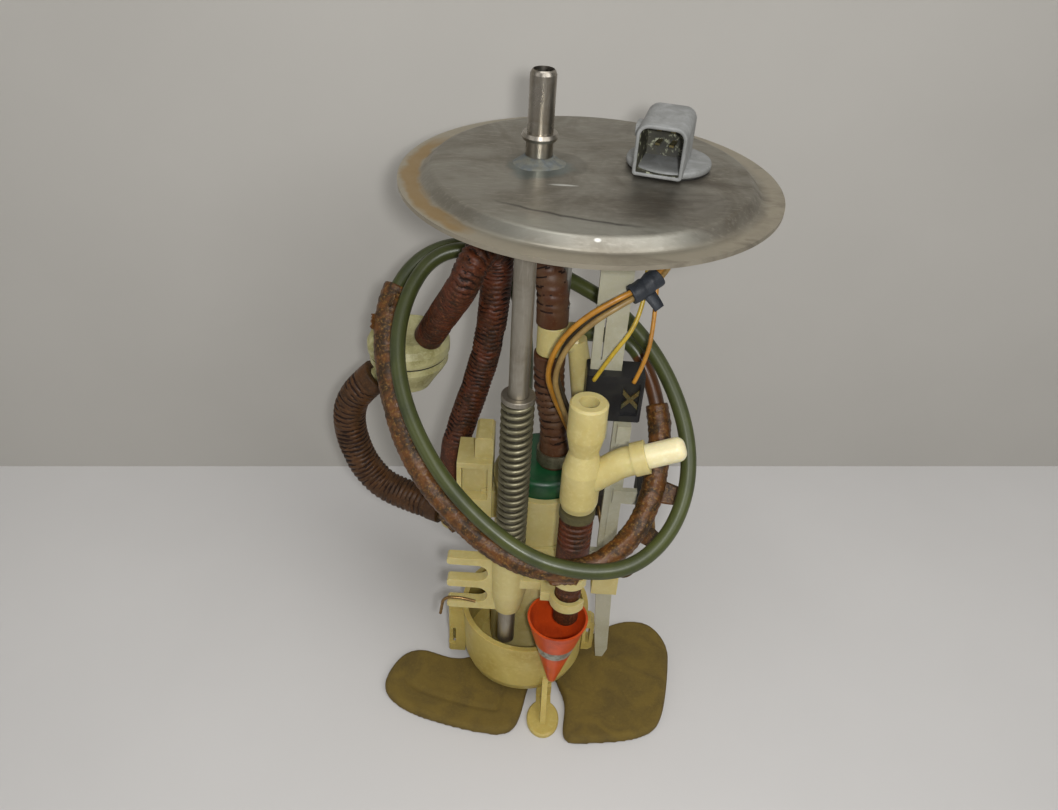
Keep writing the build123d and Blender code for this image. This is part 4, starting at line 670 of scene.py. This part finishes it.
# Convoluted hoses: fine ribs pressed into a thin tube, worn uneven, with plain cuffs where they push on
hoses = {
    "archHose": {
        "node": "arch_hose", "finish": "varnishedHose", "outer": 13.2, "bore": 7.7, "pitch": 2.2, "depth": 1.15,
        "crest": 0.4, "lean": 0.6, "dent": 0.9, "darkFrom": 0.78, "cuffs": (4, 18), "points": [
            (-62.76, 16.3, 172.05), (-54.81, 6.68, 190.01), (-46.0, -10.0, 210.5), (-41.5, -7.5, 222.4),
            (-35.9, 4.0, 225.4), (-33.0, 13.2, 215.6), (-34.6, 11.5, 190.0), (-36.5, 12.0, 173.0), (-40.0, 12.0, 156.0),
            (-45.8, 10.0, 136.0), (-51.0, 6.0, 119.0), (-51.0, 6.0, 103.1)]},
    "loopHose": {
        "node": "loop_hose", "finish": "brownHose", "outer": 15.6, "bore": 7.7, "pitch": 2.6, "depth": 0.95,
        "crest": 0.5, "lean": 0.3, "dent": 0.5, "darkFrom": 0.62, "cuffs": (4, 5), "points": [
            (-88.26, 24.0, 144.66), (-98.68, 24.0, 135.01), (-103.5, 24, 121.5), (-102.3, 24, 105), (-96.8, 22.5, 90),
            (-87, 19.5, 80.5), (-73.21, 15.09, 78.0), (-56.83, 8.39, 78.0)]},
    "outletHose": {
        "node": "outlet_hose", "finish": "greyBrownHose", "outer": 13.2, "bore": 8.3, "pitch": 3.4, "depth": 0.7,
        "crest": 0.5, "lean": 0.4, "dent": 0.5, "darkFrom": 0.5, "cuffs": (9, 4), "points": [
            (-5.0, -12.0, 129.2), (-5.0, -12.0, 150.06), (-10.0, -7.5, 166.26), (-10.0, -7.5, 182.9)]},
    "supplyHose": {
        "node": "supply_hose", "finish": "greyBrownHose", "outer": 13.2, "bore": 10.08, "pitch": 3.4, "depth": 0.65,
        "crest": 0.5, "lean": 0.4, "dent": 0.4, "darkFrom": 0.5, "cuffs": (4, 4), "points": [
            (-19.3, 3.0, 252.5), (-19.3, 3.0, 233.08), (-10.0, -7.5, 214.16), (-10.0, -7.5, 197.1)]},
}


def ribbed(look, length):
    # ribs that lean, merge and crumple, as in a hose that has been bent hot and cold for years
    start, end = look["cuffs"]

    def radiusAt(reach, angle):
        full = look["outer"] / 2
        if reach < start or reach > length - end:
            return full - 0.1 - 0.15 * noise.noise((reach * 0.25, math.cos(angle), math.sin(angle)))
        lean = look["lean"] * noise.noise((reach * 0.07, 1.3 * math.cos(angle), 1.3 * math.sin(angle)))
        lean += 0.5 * look["lean"] * noise.noise((reach * 0.3, 2.6 * math.cos(angle), 2.6 * math.sin(angle) + 5))
        wave = 0.5 - 0.5 * math.cos(2 * math.pi * (reach / look["pitch"] + lean))
        fade = min(1.0, (reach - start) / 3, (length - end - reach) / 3)
        uneven = 0.75 + 0.7 * noise.noise((reach * 0.16, 1.5 * math.cos(angle) + 5, 1.5 * math.sin(angle)))
        dent = look["dent"] * max(0.0, noise.noise((reach * 0.11, 1.1 * math.cos(angle) + 9, 1.1 * math.sin(angle))))
        return full - 0.05 - fade * (look["depth"] * max(0.15, uneven) * (1 - wave ** look["crest"]) + dent)

    return radiusAt


def grooveFaces(stations, radiusAt, sides, faceCount, deep):
    # the outer wall's faces that lie deep in a groove take the second finish, with its painted shade
    picked = [0] * faceCount
    for i in range((len(stations) - 1) * sides):
        reach = stations[i // sides][3]
        if radiusAt(reach, 2 * math.pi * (i % sides + 0.5) / sides) < deep:
            picked[i] = 1
    return picked


hoseSides = 40
for name, look in hoses.items():
    line = splinePoints(name, look["points"])
    stations = stationsAlong(line, look["pitch"] / 6)
    radiusAt = ribbed(look, stations[-1][3])
    vertices, faces = tubeMesh(stations, radiusAt, hoseSides, look["bore"])
    crosses = look["node"] == "supply_hose"   # from the tee up to the cover
    # faces deep in the grooves take the darker finish: varnish and painted shade
    dark = grooveFaces(stations, radiusAt, hoseSides, len(faces), look["outer"] / 2 - look["darkFrom"])
    hose = addMesh(name, vertices, faces, [look["finish"], "grooveVarnishAndShade"], None if crosses else "reservoir",
                   dark)
    if crosses:
        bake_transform(hose)
    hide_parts(look["node"])

# Nylon line, two turns round the module; the second turn is stained brown inside its sleeve
lineLook = {"diameter": 6.35, "stainFrom": 0.645, "stainTo": 0.955, "sides": 28}
linePoints = [
    (-19, 15, 112), (-19, 15, 140), (-19.5, 18, 165), (-23, 21, 190), (-33, 22.9, 207), (-47, 22.5, 213),
    (-62, 18.5, 209), (-71, 6, 196), (-73, -9.5, 180.5), (-67, -26, 164), (-53, -43, 147), (-35, -56, 134),
    (-14, -66, 124), (8, -69.5, 121), (27, -67.5, 123), (41, -58, 132), (48, -45, 145), (48, -31, 159),
    (42, -17, 173), (31, -3.5, 186.5), (15, 8, 198), (-4, 16, 204.5), (-24, 28, 208), (-45, 33, 210),
    (-62, 30, 207.5), (-74, 21, 199), (-79, 9, 187), (-77.5, -4, 174), (-70.5, -22, 156), (-59, -38.5, 140),
    (-42, -51, 127), (-24, -60, 118), (-6, -63.5, 114.5), (12, -62.5, 116.5), (26, -54, 123), (34.5, -42.5, 134),
    (38, -27.5, 149.5), (36.5, -14, 163.5), (31, -3, 175), (23, 4.5, 184), (9.34, 1.94, 187.7), (-4.64, -4.89, 190.95),
]
lineSpline = splinePoints("nylonLine", linePoints)
stations = stationsAlong(lineSpline, 1.6)
vertices, faces = tubeMesh(stations, lambda reach, angle: lineLook["diameter"] / 2, lineLook["sides"])
faceMaterial = []
for i in range(len(faces)):
    share = min(i // lineLook["sides"], len(stations) - 2) / (len(stations) - 1)
    faceMaterial.append(1 if lineLook["stainFrom"] < share < lineLook["stainTo"] else 0)
nylonLine = addMesh("nylonLine", vertices, faces, ["oliveNylonLine", "stainedLine"], "reservoir",
                    faceMaterial)
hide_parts("nylon_line")

# Split sleeve: a slit tube of stiff plastic gone ragged, with torn lips that stand off the line
sleeveLook = {
    "fromShare": 0.643, "toShare": 0.93, "inner": 6.9, "wall": 0.9, "slit": 0.95, "sides": 44, "lumpMm": 0.45,
    "rippleMm": 0.14, "swollenMm": 1.1, "swollenUntil": 0.42, "tightAt": 0.66, "tight": 0.9, "frayedAt": 0.76,
    "frayedMm": 14, "innerMost": 4.75, "outerMost": 5.3, "flapRoot": 3.3, "flapMm": 0.8, "flaps": [
        {"share": 0.652, "towards": (0.5, -0.5, 1.0), "length": 7.0, "width": 6.0, "curl": 1.2},
        {"share": 0.662, "towards": (-1.0, -0.3, 0.5), "length": 4.0, "width": 8.0, "curl": 1.0},
        {"share": 0.765, "towards": (-0.6, -0.3, -1.0), "length": 4.0, "width": 12.0, "curl": 0.8},
        {"share": 0.825, "towards": (0.0, -0.5, -1.0), "length": 3.5, "width": 14.0, "curl": 0.6},
        {"share": 0.868, "towards": (0.5, -0.5, -1.0), "length": 9.0, "width": 9.0, "curl": 1.4},
        {"share": 0.888, "towards": (1.0, -0.4, 0.1), "length": 9.0, "width": 9.5, "curl": 1.6}]}


def tornFlap(vertices, faces, flap):
    # a torn tongue of the sleeve that stands off the line, thin and curled, with a ragged end
    ends = stationsAlong(lineSpline, 2.0, flap["share"] - 0.002, flap["share"] + 0.002)
    place = ends[len(ends) // 2][0]
    along = (ends[-1][0] - ends[0][0]).normalized()
    out = Vector(flap["towards"])
    out = (out - along * out.dot(along)).normalized()
    lift = along.cross(out)
    rows, columns = 7, 9
    base = len(vertices)
    for layer in (0, 1):
        for i in range(rows + 1):
            share = i / rows
            for j in range(columns + 1):
                across = j / columns - 0.5
                ragged = 1 - 0.35 * share * abs(noise.noise((j * 0.9, flap["share"] * 60, 3.0)))
                reach = sleeveLook["flapRoot"] + flap["length"] * share * ragged
                curl = flap["curl"] * math.sin(2.4 * share) + 0.5 * math.cos(across * 3.0) * (1 - share)
                spot = place + out * reach / 1000 + along * across * flap["width"] * (1 - 0.25 * share) / 1000
                vertices.append(spot + lift * (curl + sleeveLook["flapMm"] * layer) / 1000)
    span = columns + 1
    sheet = (rows + 1) * span
    for i in range(rows):
        for j in range(columns):
            a = base + i * span + j
            faces.append((a, a + 1, a + span + 1, a + span))
            faces.append((sheet + a, sheet + a + span, sheet + a + span + 1, sheet + a + 1))
    border = [i * span for i in range(rows)] + [rows * span + j for j in range(columns)]
    border += [(rows - i) * span + columns for i in range(rows)] + [columns - j for j in range(columns)]
    for a, b in zip(border, border[1:] + border[:1]):
        faces.append((base + a, base + b, base + sheet + b, base + sheet + a))


def splitSleeve():
    look = sleeveLook
    stations = stationsAlong(lineSpline, 0.9, look["fromShare"], look["toShare"])
    length = stations[-1][3]
    sides = look["sides"]
    vertices = []
    faces = []
    for place, side, other, reach in stations:
        share = reach / length
        # tight round the line at one place, fatter at the upper left, frayed at its ends and at one more place
        tight = max(0.0, 1 - abs(share - look["tightAt"]) / 0.07) * look["tight"]
        swollen = look["swollenMm"] * min(1.0, max(0.0, (look["swollenUntil"] - share) / 0.14))
        frayed = max(0.0, 1 - reach / look["frayedMm"]) + max(0.0, 1 - (length - reach) / look["frayedMm"])
        frayed += max(0.0, 1 - abs(share - look["frayedAt"]) / 0.04)
        slit = look["slit"] + 0.55 * noise.noise((reach * 0.09, 0.3, 2.0)) + 0.8 * frayed
        turn = 0.5 + 0.9 * noise.noise((reach * 0.02, 7.7, 1.0))
        for k in range(sides + 1):
            ragged = 0.22 * noise.noise((reach * 0.55, 9.0 + (0 if k < sides / 2 else 4), 0.5))
            opening = slit / 2 + ragged
            angle = turn + opening + (2 * math.pi - 2 * opening) * k / sides
            edge = max(0.0, 1 - min(k, sides - k) / 5)
            lumps = look["lumpMm"] * noise.noise((reach * 0.16, 2.2 * math.cos(angle), 2.2 * math.sin(angle)))
            ripple = look["rippleMm"] * math.sin(reach * 2.1 + 2.0 * noise.noise((reach * 0.2, 1.0, 1.0)))
            flutter = max(0.0, noise.noise((reach * 0.13, 4.0 if k < sides / 2 else 8.0, 0.0)) + 0.25)
            lift = edge * (0.35 + 0.9 * flutter + 0.6 * frayed)
            inner = look["inner"] / 2 + (1 - tight) * (0.35 + lumps * 0.6) + lift + swollen
            outer = inner + look["wall"] * (1 - 0.45 * edge) + (1 - tight) * (ripple + 0.25 * lumps)
            direction = side * math.cos(angle) + other * math.sin(angle)
            vertices.append(place + direction * min(inner, look["innerMost"] + swollen) / 1000)
            vertices.append(place + direction * min(outer, look["outerMost"] + swollen) / 1000)
    ringSize = 2 * (sides + 1)
    for i in range(len(stations) - 1):
        a = i * ringSize
        b = a + ringSize
        for k in range(sides):
            p = 2 * k
            faces.append((a + p + 1, a + p + 3, b + p + 3, b + p + 1))
            faces.append((a + p, b + p, b + p + 2, a + p + 2))
        faces.append((a, a + 1, b + 1, b))
        q = 2 * sides
        faces.append((a + q, b + q, b + q + 1, a + q + 1))
    for k in range(sides):
        p = 2 * k
        faces.append((p, p + 2, p + 3, p + 1))
        z = (len(stations) - 1) * ringSize + p
        faces.append((z, z + 1, z + 3, z + 2))
    for flap in look["flaps"]:
        tornFlap(vertices, faces, flap)
    sleeve = addMesh("splitSleeve", vertices, faces, ["mottledSleeve"], "reservoir")
    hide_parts("split_sleeve")


splitSleeve()

# Wires: three to the pump in one bundle, two to the sender
bundlePoints = [
    (31, 4, 252.4), (31.4, 2.6, 245), (33.5, -5, 237), (31.0, -15, 229), (22.5, -22.8, 223),
    (12.5, -27.0, 218.5), (2, -28.0, 210.5), (-6.0, -27.5, 199), (-9.2, -26.5, 185), (-6.0, -24.5, 173.5),
    (-1.0, -21.5, 160), (3.2, -18.0, 147), (4.6, -14.6, 133.1),
]
wireLook = {
    "diameter": 2.2, "spread": 1.25, "middleSpread": 2.15, "turn": 2.0, "twist": 0.16, "tiedUntil": 4,
    "finishes": ("orangeInsulation", "darkInsulation", "tanInsulation")}


def besideBundle(points, angle, look):
    # one wire of the bundle: beside the middle line, further off between the two ends, slowly twisting
    moved = []
    last = len(points) - 1
    for i, point in enumerate(points):
        along = (Vector(points[min(i + 1, last)]) - Vector(points[max(i - 1, 0)])).normalized()
        across = along.cross(Vector((0, 1, 0))).normalized()
        up = along.cross(across)
        turn = angle + look["twist"] * i
        pastTape = max(0.0, (i - look["tiedUntil"]) / (last - look["tiedUntil"]))
        loose = math.sin(math.pi * min(1.0, pastTape))
        spread = look["spread"] + (look["middleSpread"] - look["spread"]) * loose
        moved.append(tuple(Vector(point) + (across * math.cos(turn) + up * math.sin(turn)) * spread))
    return moved


def wire(name, points, finish, diameter):
    stations = stationsAlong(splinePoints(name, points), 1.0)
    vertices, faces = tubeMesh(stations, lambda reach, angle: diameter / 2, 14)
    piece = addMesh(name, vertices, faces, [finish], None)
    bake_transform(piece)
    return piece


for i, finish in enumerate(wireLook["finishes"]):
    route = besideBundle(bundlePoints, 2 * math.pi / 3 * i + wireLook["turn"], wireLook)
    piece = wire(f"pumpWire{i + 1}", route, finish, wireLook["diameter"])
    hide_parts("pump_wires")

senderRoutes = {
    "senderWireLeft": {"finish": "yellowInsulation", "diameter": 1.7, "points": [
        (24, 4, 252.4), (24, 2, 245), (24, -6, 236), (23.6, -14, 227), (23.4, -19, 216), (20.0, -25, 206),
        (13.0, -27.2, 196), (7.4, -26.1, 183.0)]},
    "senderWireRight": {"finish": "orangeInsulation", "diameter": 1.7, "points": [
        (26.6, 6, 252.4), (26.8, 3.5, 245), (27.4, -5, 235), (28.0, -13, 222), (28.2, -19.6, 207),
        (27.0, -25, 194), (23.0, -26.1, 183.0)]},
}
for name, look in senderRoutes.items():
    piece = wire(name, look["points"], look["finish"], look["diameter"])
    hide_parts("sender_wires")

# Cloth tape round the bundle, with its loose end sticking out
tapeLook = {
    "radius": 3.75, "layerMm": 0.25, "stripMm": 4.2, "crumple": 0.35, "bore": 5.0, "flagLength": 6.5,
    "flagWidth": 5.0, "flagRoot": 3.2, "flagMm": 0.4, "flagTowards": (0.55, -0.35, -0.76)}


def clothTape():
    look = tapeLook
    before, middle, after = (Vector(point) for point in bundlePoints[3:6])
    stations = stationsAlong(splinePoints("clothTape", [(before + middle) / 2, middle, (middle + after) / 2]), 0.5)

    def radiusAt(reach, angle):
        wrap = (reach / look["stripMm"] + angle / (2 * math.pi)) % 1.0
        crumple = look["crumple"] * noise.noise((reach * 0.35, 1.4 * math.cos(angle), 1.4 * math.sin(angle)))
        return look["radius"] - 0.15 + look["layerMm"] * (1 - wrap) + crumple

    vertices, faces = tubeMesh(stations, radiusAt, 36, look["bore"])
    base = len(vertices)
    place, side, other, reach = stations[len(stations) // 2]
    along = side.cross(other)
    out = Vector(look["flagTowards"]).normalized()
    out = (out - along * out.dot(along)).normalized()
    rows = 8
    for i in range(rows + 1):
        curl = 0.9 * math.sin(2.2 * i / rows)
        for j in (0, 1):
            for k in (0, 1):
                spot = place + out * (look["flagRoot"] + look["flagLength"] * i / rows) / 1000
                spot += along * (j - 0.5) * (look["flagWidth"] - 0.12 * i) / 1000
                spot += along.cross(out) * (curl + look["flagMm"] * k) / 1000
                vertices.append(spot)
    for i in range(rows):
        a = base + 4 * i
        b = a + 4
        faces += [(a, b, b + 2, a + 2), (a + 1, a + 3, b + 3, b + 1)]
        faces += [(a, a + 1, b + 1, b), (a + 2, b + 2, b + 3, a + 3)]
    z = base + 4 * rows
    faces += [(base, base + 2, base + 3, base + 1), (z, z + 1, z + 3, z + 2)]
    tape = addMesh("clothTape", vertices, faces, ["clothTape"], "cover")
    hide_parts("tape_wrap")


clothTape()

# Spring: round wire, closed at both ends
springLook = {"wire": 2.1, "meanDiameter": 11.2, "from": 96.0, "to": 179.0, "pitch": 3.4, "x": -21.5, "y": -36.0}


def coilSpring():
    look = springLook
    low = look["from"] + look["wire"] / 2
    high = look["to"] - look["wire"] / 2
    turns = round((high - low) / look["pitch"])
    perTurn = 40
    count = turns * perTurn
    sides = 12
    vertices = []
    faces = []
    for i in range(count + 1):
        angle = 2 * math.pi * i / perTurn
        outward = Vector((math.cos(angle), math.sin(angle), 0))
        middle = at(look["x"], look["y"], low + (high - low) * i / count) + outward * look["meanDiameter"] / 2000
        for k in range(sides):
            roll = 2 * math.pi * k / sides
            across = outward * math.cos(roll) + Vector((0, 0, math.sin(roll)))
            vertices.append(middle + across * look["wire"] / 2000)
    for i in range(count):
        for k in range(sides):
            n = (k + 1) % sides
            faces.append((i * sides + k, (i + 1) * sides + k, (i + 1) * sides + n, i * sides + n))
    faces.append(tuple(range(sides)))
    faces.append(tuple(reversed(range(count * sides, (count + 1) * sides))))
    spring = addMesh("coilSpring", vertices, faces, ["springWire"], None)
    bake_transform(spring)
    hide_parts("coil_spring")


coilSpring()

# Strainer sock: two felt lobes, pillowed, one with a pressed line
print("strainer sock")
sockLook = {
    "thickness": 4.6, "edge": 2.4, "voxelMm": 0.9, "hub": (-6, -18, 17), "lineInset": 11.5, "lineWidth": 2.2,
    "lineDepth": 0.8, "lineRight": -12, "lineBack": -34, "gapX": -3, "gapHalf": 14, "gapFront": -34, "gapInset": 9.0}
sockOutlines = {
    "left": [
        (-80.3, -39.5), (-75.0, -24.7), (-64.5, -19.2), (-45.0, -23.0), (-24.0, -16.0), (-7.0, -20.0), (-9.6, -41.0),
        (-15.0, -60.3), (-28.0, -63.8), (-58.0, -57.8), (-74.5, -49.8)],
    "right": [
        (2.0, -20.0), (16.0, -8.0), (38.0, 6.3), (54.0, 6.8), (62.8, -4.5), (63.3, -20.0), (57.0, -50.0), (46.0, -60.8),
        (24.0, -65.3), (9.8, -64.3), (9.4, -44.0)],
}


def smoothOutline(points, perSpan=8):
    # closed curve through the points
    outline = []
    count = len(points)
    for i in range(count):
        p0, p1, p2, p3 = (Vector(points[(i + k) % count]) for k in (-1, 0, 1, 2))
        for j in range(perSpan):
            t = j / perSpan
            outline.append(0.5 * (2 * p1 + (p2 - p0) * t + (2 * p0 - 5 * p1 + 4 * p2 - p3) * t * t
                                  + (3 * p1 - p0 - 3 * p2 + p3) * t ** 3))
    return outline


def insetOf(spot, outline):
    # distance from a place to the nearest edge of the outline
    nearest = []
    for a, b in zip(outline, outline[1:] + outline[:1]):
        run = b - a
        share = max(0.0, min(1.0, (spot - a).dot(run) / run.length_squared))
        nearest.append((spot - a - run * share).length)
    return min(nearest)


def edgeInset(spot, outlines):
    # distance in from the rim of the lobe that holds this place; the lobes are one felt where they meet
    look = sockLook
    if abs(spot.x - look["gapX"]) <= look["gapHalf"] and spot.y >= look["gapFront"]:
        return look["gapInset"]
    return insetOf(spot, outlines["left" if spot.x < look["gapX"] else "right"])


def filterSock():
    look = sockLook
    vertices = []
    faces = []
    outlines = {side: smoothOutline(points) for side, points in sockOutlines.items()}
    hubX, hubY, hubRadius = look["hub"]
    turns = [a * math.pi / 24 for a in range(48)]
    hub = [Vector((hubX + hubRadius * math.cos(turn), hubY + hubRadius * math.sin(turn))) for turn in turns]
    for outline in [*outlines.values(), hub]:
        base = len(vertices)
        for height in (0.05, look["thickness"] - 0.05):
            vertices += [at(spot.x, spot.y, height) for spot in outline]
        count = len(outline)
        faces.append(tuple(reversed(range(base, base + count))))
        faces.append(tuple(range(base + count, base + 2 * count)))
        for i in range(count):
            n = (i + 1) % count
            faces.append((base + i, base + n, base + count + n, base + count + i))
    sock = addMesh("filterSock", vertices, faces, ["filterFelt"], "reservoir")
    remesh = sock.modifiers.new("oneSkin", "REMESH")
    remesh.mode = "VOXEL"
    remesh.voxel_size = look["voxelMm"] / 1000
    dressed = dressedMesh(sock)
    floor = -seatHeight / 1000
    for vertex in dressed.vertices:
        spot = Vector((vertex.co.x * 1000, vertex.co.y * 1000))
        inset = edgeInset(spot, outlines)
        share = (vertex.co.z - floor) * 1000 / look["thickness"]
        near = max(0.0, min(1.0, inset / look["edge"]))
        rounded = math.sqrt(max(0.0, 1 - (1 - near) ** 2))
        lumps = 0.35 * noise.noise((spot.x * 0.07, spot.y * 0.07, 1.0))
        lumps += 0.12 * noise.noise((spot.x * 0.35, spot.y * 0.35, 2.0))
        height = look["thickness"] * (0.55 + 0.45 * rounded) - 0.3 + lumps * near
        if spot.x < look["lineRight"]:   # the pressed line on the left lobe
            line = max(0.0, 1 - abs(inset - look["lineInset"]) / look["lineWidth"])
            front = max(0.0, min(1.0, (look["lineBack"] - spot.y) / 6))
            height -= look["lineDepth"] * (line * line * (3 - 2 * line)) * front
        vertex.co.z = floor + share * min(height, look["thickness"]) / 1000
    for polygon in dressed.polygons:
        polygon.use_smooth = True
    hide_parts("filter_sock")


filterSock()

# Socket, turned towards the front left. Heights are above the cover's raised middle.
print("socket")
socketLook = {
    "place": (25.7, 2.8), "turn": -14, "seat": 5.6, "halfWidth": 9.0, "front": -13.6, "back": 12.2, "bottom": 1.0,
    "top": 20.4, "wall": 1.4, "mouthDepth": 18.4, "topCorner": 4.4, "bottomCorner": 1.5, "backRound": 2.2,
    "droop": 0.9, "tab": ((-10.7, -8.8), (-5.0, 2.0), (12.2, 16.4)), "edge": 0.3,
    "base": {
        "x": 28.4, "y": 6.2, "radius": 15.6, "low": 0.9, "high": 3.2, "neckX": 27.85, "neckY": 9.41,
        "neckRadius": 11.5, "neckLow": -6.6, "gasketInner": 12.6, "gasketOuter": 15.0}}


def cornerRing(y, halfWidth, low, high, topCorner, bottomCorner):
    # rounded rectangle across the socket, as points in millimetres
    corners = [(1, 1, topCorner, 0), (-1, 1, topCorner, 90), (-1, -1, bottomCorner, 180), (1, -1, bottomCorner, 270)]
    ring = []
    for sideX, sideZ, corner, startAngle in corners:
        middleX = sideX * (halfWidth - corner)
        middleZ = (high - corner) if sideZ > 0 else (low + corner)
        for step in range(9):
            angle = math.radians(startAngle + 90 * step / 8)
            ring.append((middleX + corner * math.cos(angle), y, middleZ + corner * math.sin(angle)))
    return ring


def turned(vertices, faces, x, y, seat, profile, around=72):
    # a turned body round an upright axis, added to the given lists
    rows = []
    for radius, height in profile:
        if radius == 0.0:
            rows.append([len(vertices)] * around)
            vertices.append(Vector((x, y, seat + height)) / 1000)
        else:
            rows.append(list(range(len(vertices), len(vertices) + around)))
            for i in range(around):
                angle = 2 * math.pi * i / around
                spot = (x + radius * math.cos(angle), y + radius * math.sin(angle), seat + height)
                vertices.append(Vector(spot) / 1000)
    for low, high in zip(rows, rows[1:]):
        for i in range(around):
            n = (i + 1) % around
            faces.append(tuple(dict.fromkeys((low[i], low[n], high[n], high[i]))))


def socketShell():
    look = socketLook
    rings = []

    def add(y, inset, droop=0.0):
        # inset from the outer skin; the hood droops a little towards its mouth
        high = look["top"] - inset - droop
        rings.append(cornerRing(y, look["halfWidth"] - inset, look["bottom"] + inset, high,
                                max(0.6, look["topCorner"] - inset), max(0.5, look["bottomCorner"] - inset)))

    front, back, backRound, droop = look["front"], look["back"], look["backRound"], look["droop"]
    for step in range(6):
        angle = math.pi / 2 * step / 5
        add(back - backRound * (1 - math.cos(angle)), backRound * (1 - math.sin(angle)))
    for share in (0.35, 0.7, 0.95):
        add(back - backRound + (front + 0.5 - back + backRound) * share, 0.0, droop * share)
    for y, inset in ((0.15, 0.12), (0.0, 0.4), (0.0, look["wall"] - 0.3), (0.3, look["wall"]),
                     (look["mouthDepth"], look["wall"] + 0.4)):
        add(front + y, inset, droop)
    turn = Matrix.Rotation(math.radians(look["turn"]), 4, "Z")
    shift = Vector((*look["place"], look["seat"]))
    vertices = [(turn @ Vector(point) + shift) / 1000 for ring in rings for point in ring]
    count = len(rings[0])
    faces = [tuple(reversed(range(count))), tuple(range((len(rings) - 1) * count, len(rings) * count))]
    faceMaterial = [0, 1]   # the inside of the mouth takes the near-black finish: painted shade
    for i in range(len(rings) - 1):
        faceMaterial += [1 if i == len(rings) - 2 else 0] * count
        for k in range(count):
            n = (k + 1) % count
            faces.append((i * count + k, i * count + n, (i + 1) * count + n, (i + 1) * count + k))
    # latch tab on the left side, on the same mesh
    base = len(vertices)
    for x in look["tab"][0]:
        for y in look["tab"][1]:
            for z in look["tab"][2]:
                vertices.append((turn @ Vector((x, y, z)) + shift) / 1000)
    faces += [tuple(base + k for k in face) for face in (
        (0, 1, 3, 2), (4, 6, 7, 5), (0, 4, 5, 1), (2, 3, 7, 6), (0, 2, 6, 4), (1, 5, 7, 3))]
    foot = look["base"]
    radius, low, high = foot["radius"], foot["low"], foot["high"]
    neckRadius, neckLow = foot["neckRadius"], foot["neckLow"]
    turned(vertices, faces, foot["x"], foot["y"], look["seat"], [
        (0.0, low), (radius - 0.3, low), (radius, low + 0.3), (radius, high - 0.8), (radius - 0.25, high - 0.25),
        (radius - 0.8, high), (0.0, high)])
    turned(vertices, faces, foot["neckX"], foot["neckY"], look["seat"], [
        (0.0, neckLow), (neckRadius - 0.4, neckLow), (neckRadius, neckLow + 0.4), (neckRadius, low + 0.2),
        (0.0, low + 0.2)])
    faceMaterial += [0] * (len(faces) - len(faceMaterial))
    shell = addMesh("socketShell", vertices, faces, ["socketPlastic", "mouthShadeAndCorrosion"], "cover",
                    faceMaterial)
    bevel = shell.modifiers.new("softEdges", "BEVEL")
    bevel.width = look["edge"] / 1000
    bevel.segments = 2
    bevel.limit_method = "ANGLE"
    bevel.angle_limit = math.radians(50)
    dressedMesh(shell)
    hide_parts("socket_housing")
    vertices = []
    faces = []
    inner, outer = foot["gasketInner"], foot["gasketOuter"]
    turned(vertices, faces, foot["x"], foot["y"], look["seat"], [
        (inner, 0.0), (outer, 0.0), (outer, low), (inner, low), (inner, 0.0)])
    gasket = addMesh("socketGasket", vertices, faces, ["nitrileRubber"], "cover")
    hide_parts("socket_gasket")


socketShell()

# Braze: a crust of solder and flux that ran out round the tube's foot
brazeLook = {"x": -19.3, "y": 3.0, "inner": 5.1, "outer": 9.0, "towardsFront": 2.2, "height": 1.9, "seat": 5.6}


def brazeCrust():
    look = brazeLook
    vertices = []
    faces = []
    around = 96
    rings = 14
    for j in range(rings + 1):
        share = j / rings
        for i in range(around):
            angle = 2 * math.pi * i / around
            rim = look["outer"] - look["towardsFront"] * math.sin(angle)
            rim += 1.6 * noise.noise((1.3 * math.cos(angle), 1.3 * math.sin(angle), 4.0))
            r = look["inner"] + (rim - look["inner"]) * share
            x = look["x"] + r * math.cos(angle)
            y = look["y"] + r * math.sin(angle)
            top = look["height"] * (1 - share) ** 1.5 + 0.5 * math.sqrt(max(0.0, 1 - share * share))
            crumbs = 0.3 * noise.noise((x * 0.5, y * 0.5, 0.0)) + 0.15 * noise.noise((x * 1.6, y * 1.6, 3.0))
            top += crumbs * (1 - share ** 4)
            vertices.append(Vector((x, y, look["seat"] + max(0.0, top))) / 1000)
    for j in range(rings):
        for i in range(around):
            n = (i + 1) % around
            faces.append(((j + 1) * around + i, (j + 1) * around + n, j * around + n, j * around + i))
    crust = addMesh("brazeCrust", vertices, faces, ["brazeStain"], "cover")
    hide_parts("braze_collar")


brazeCrust()

print("done")
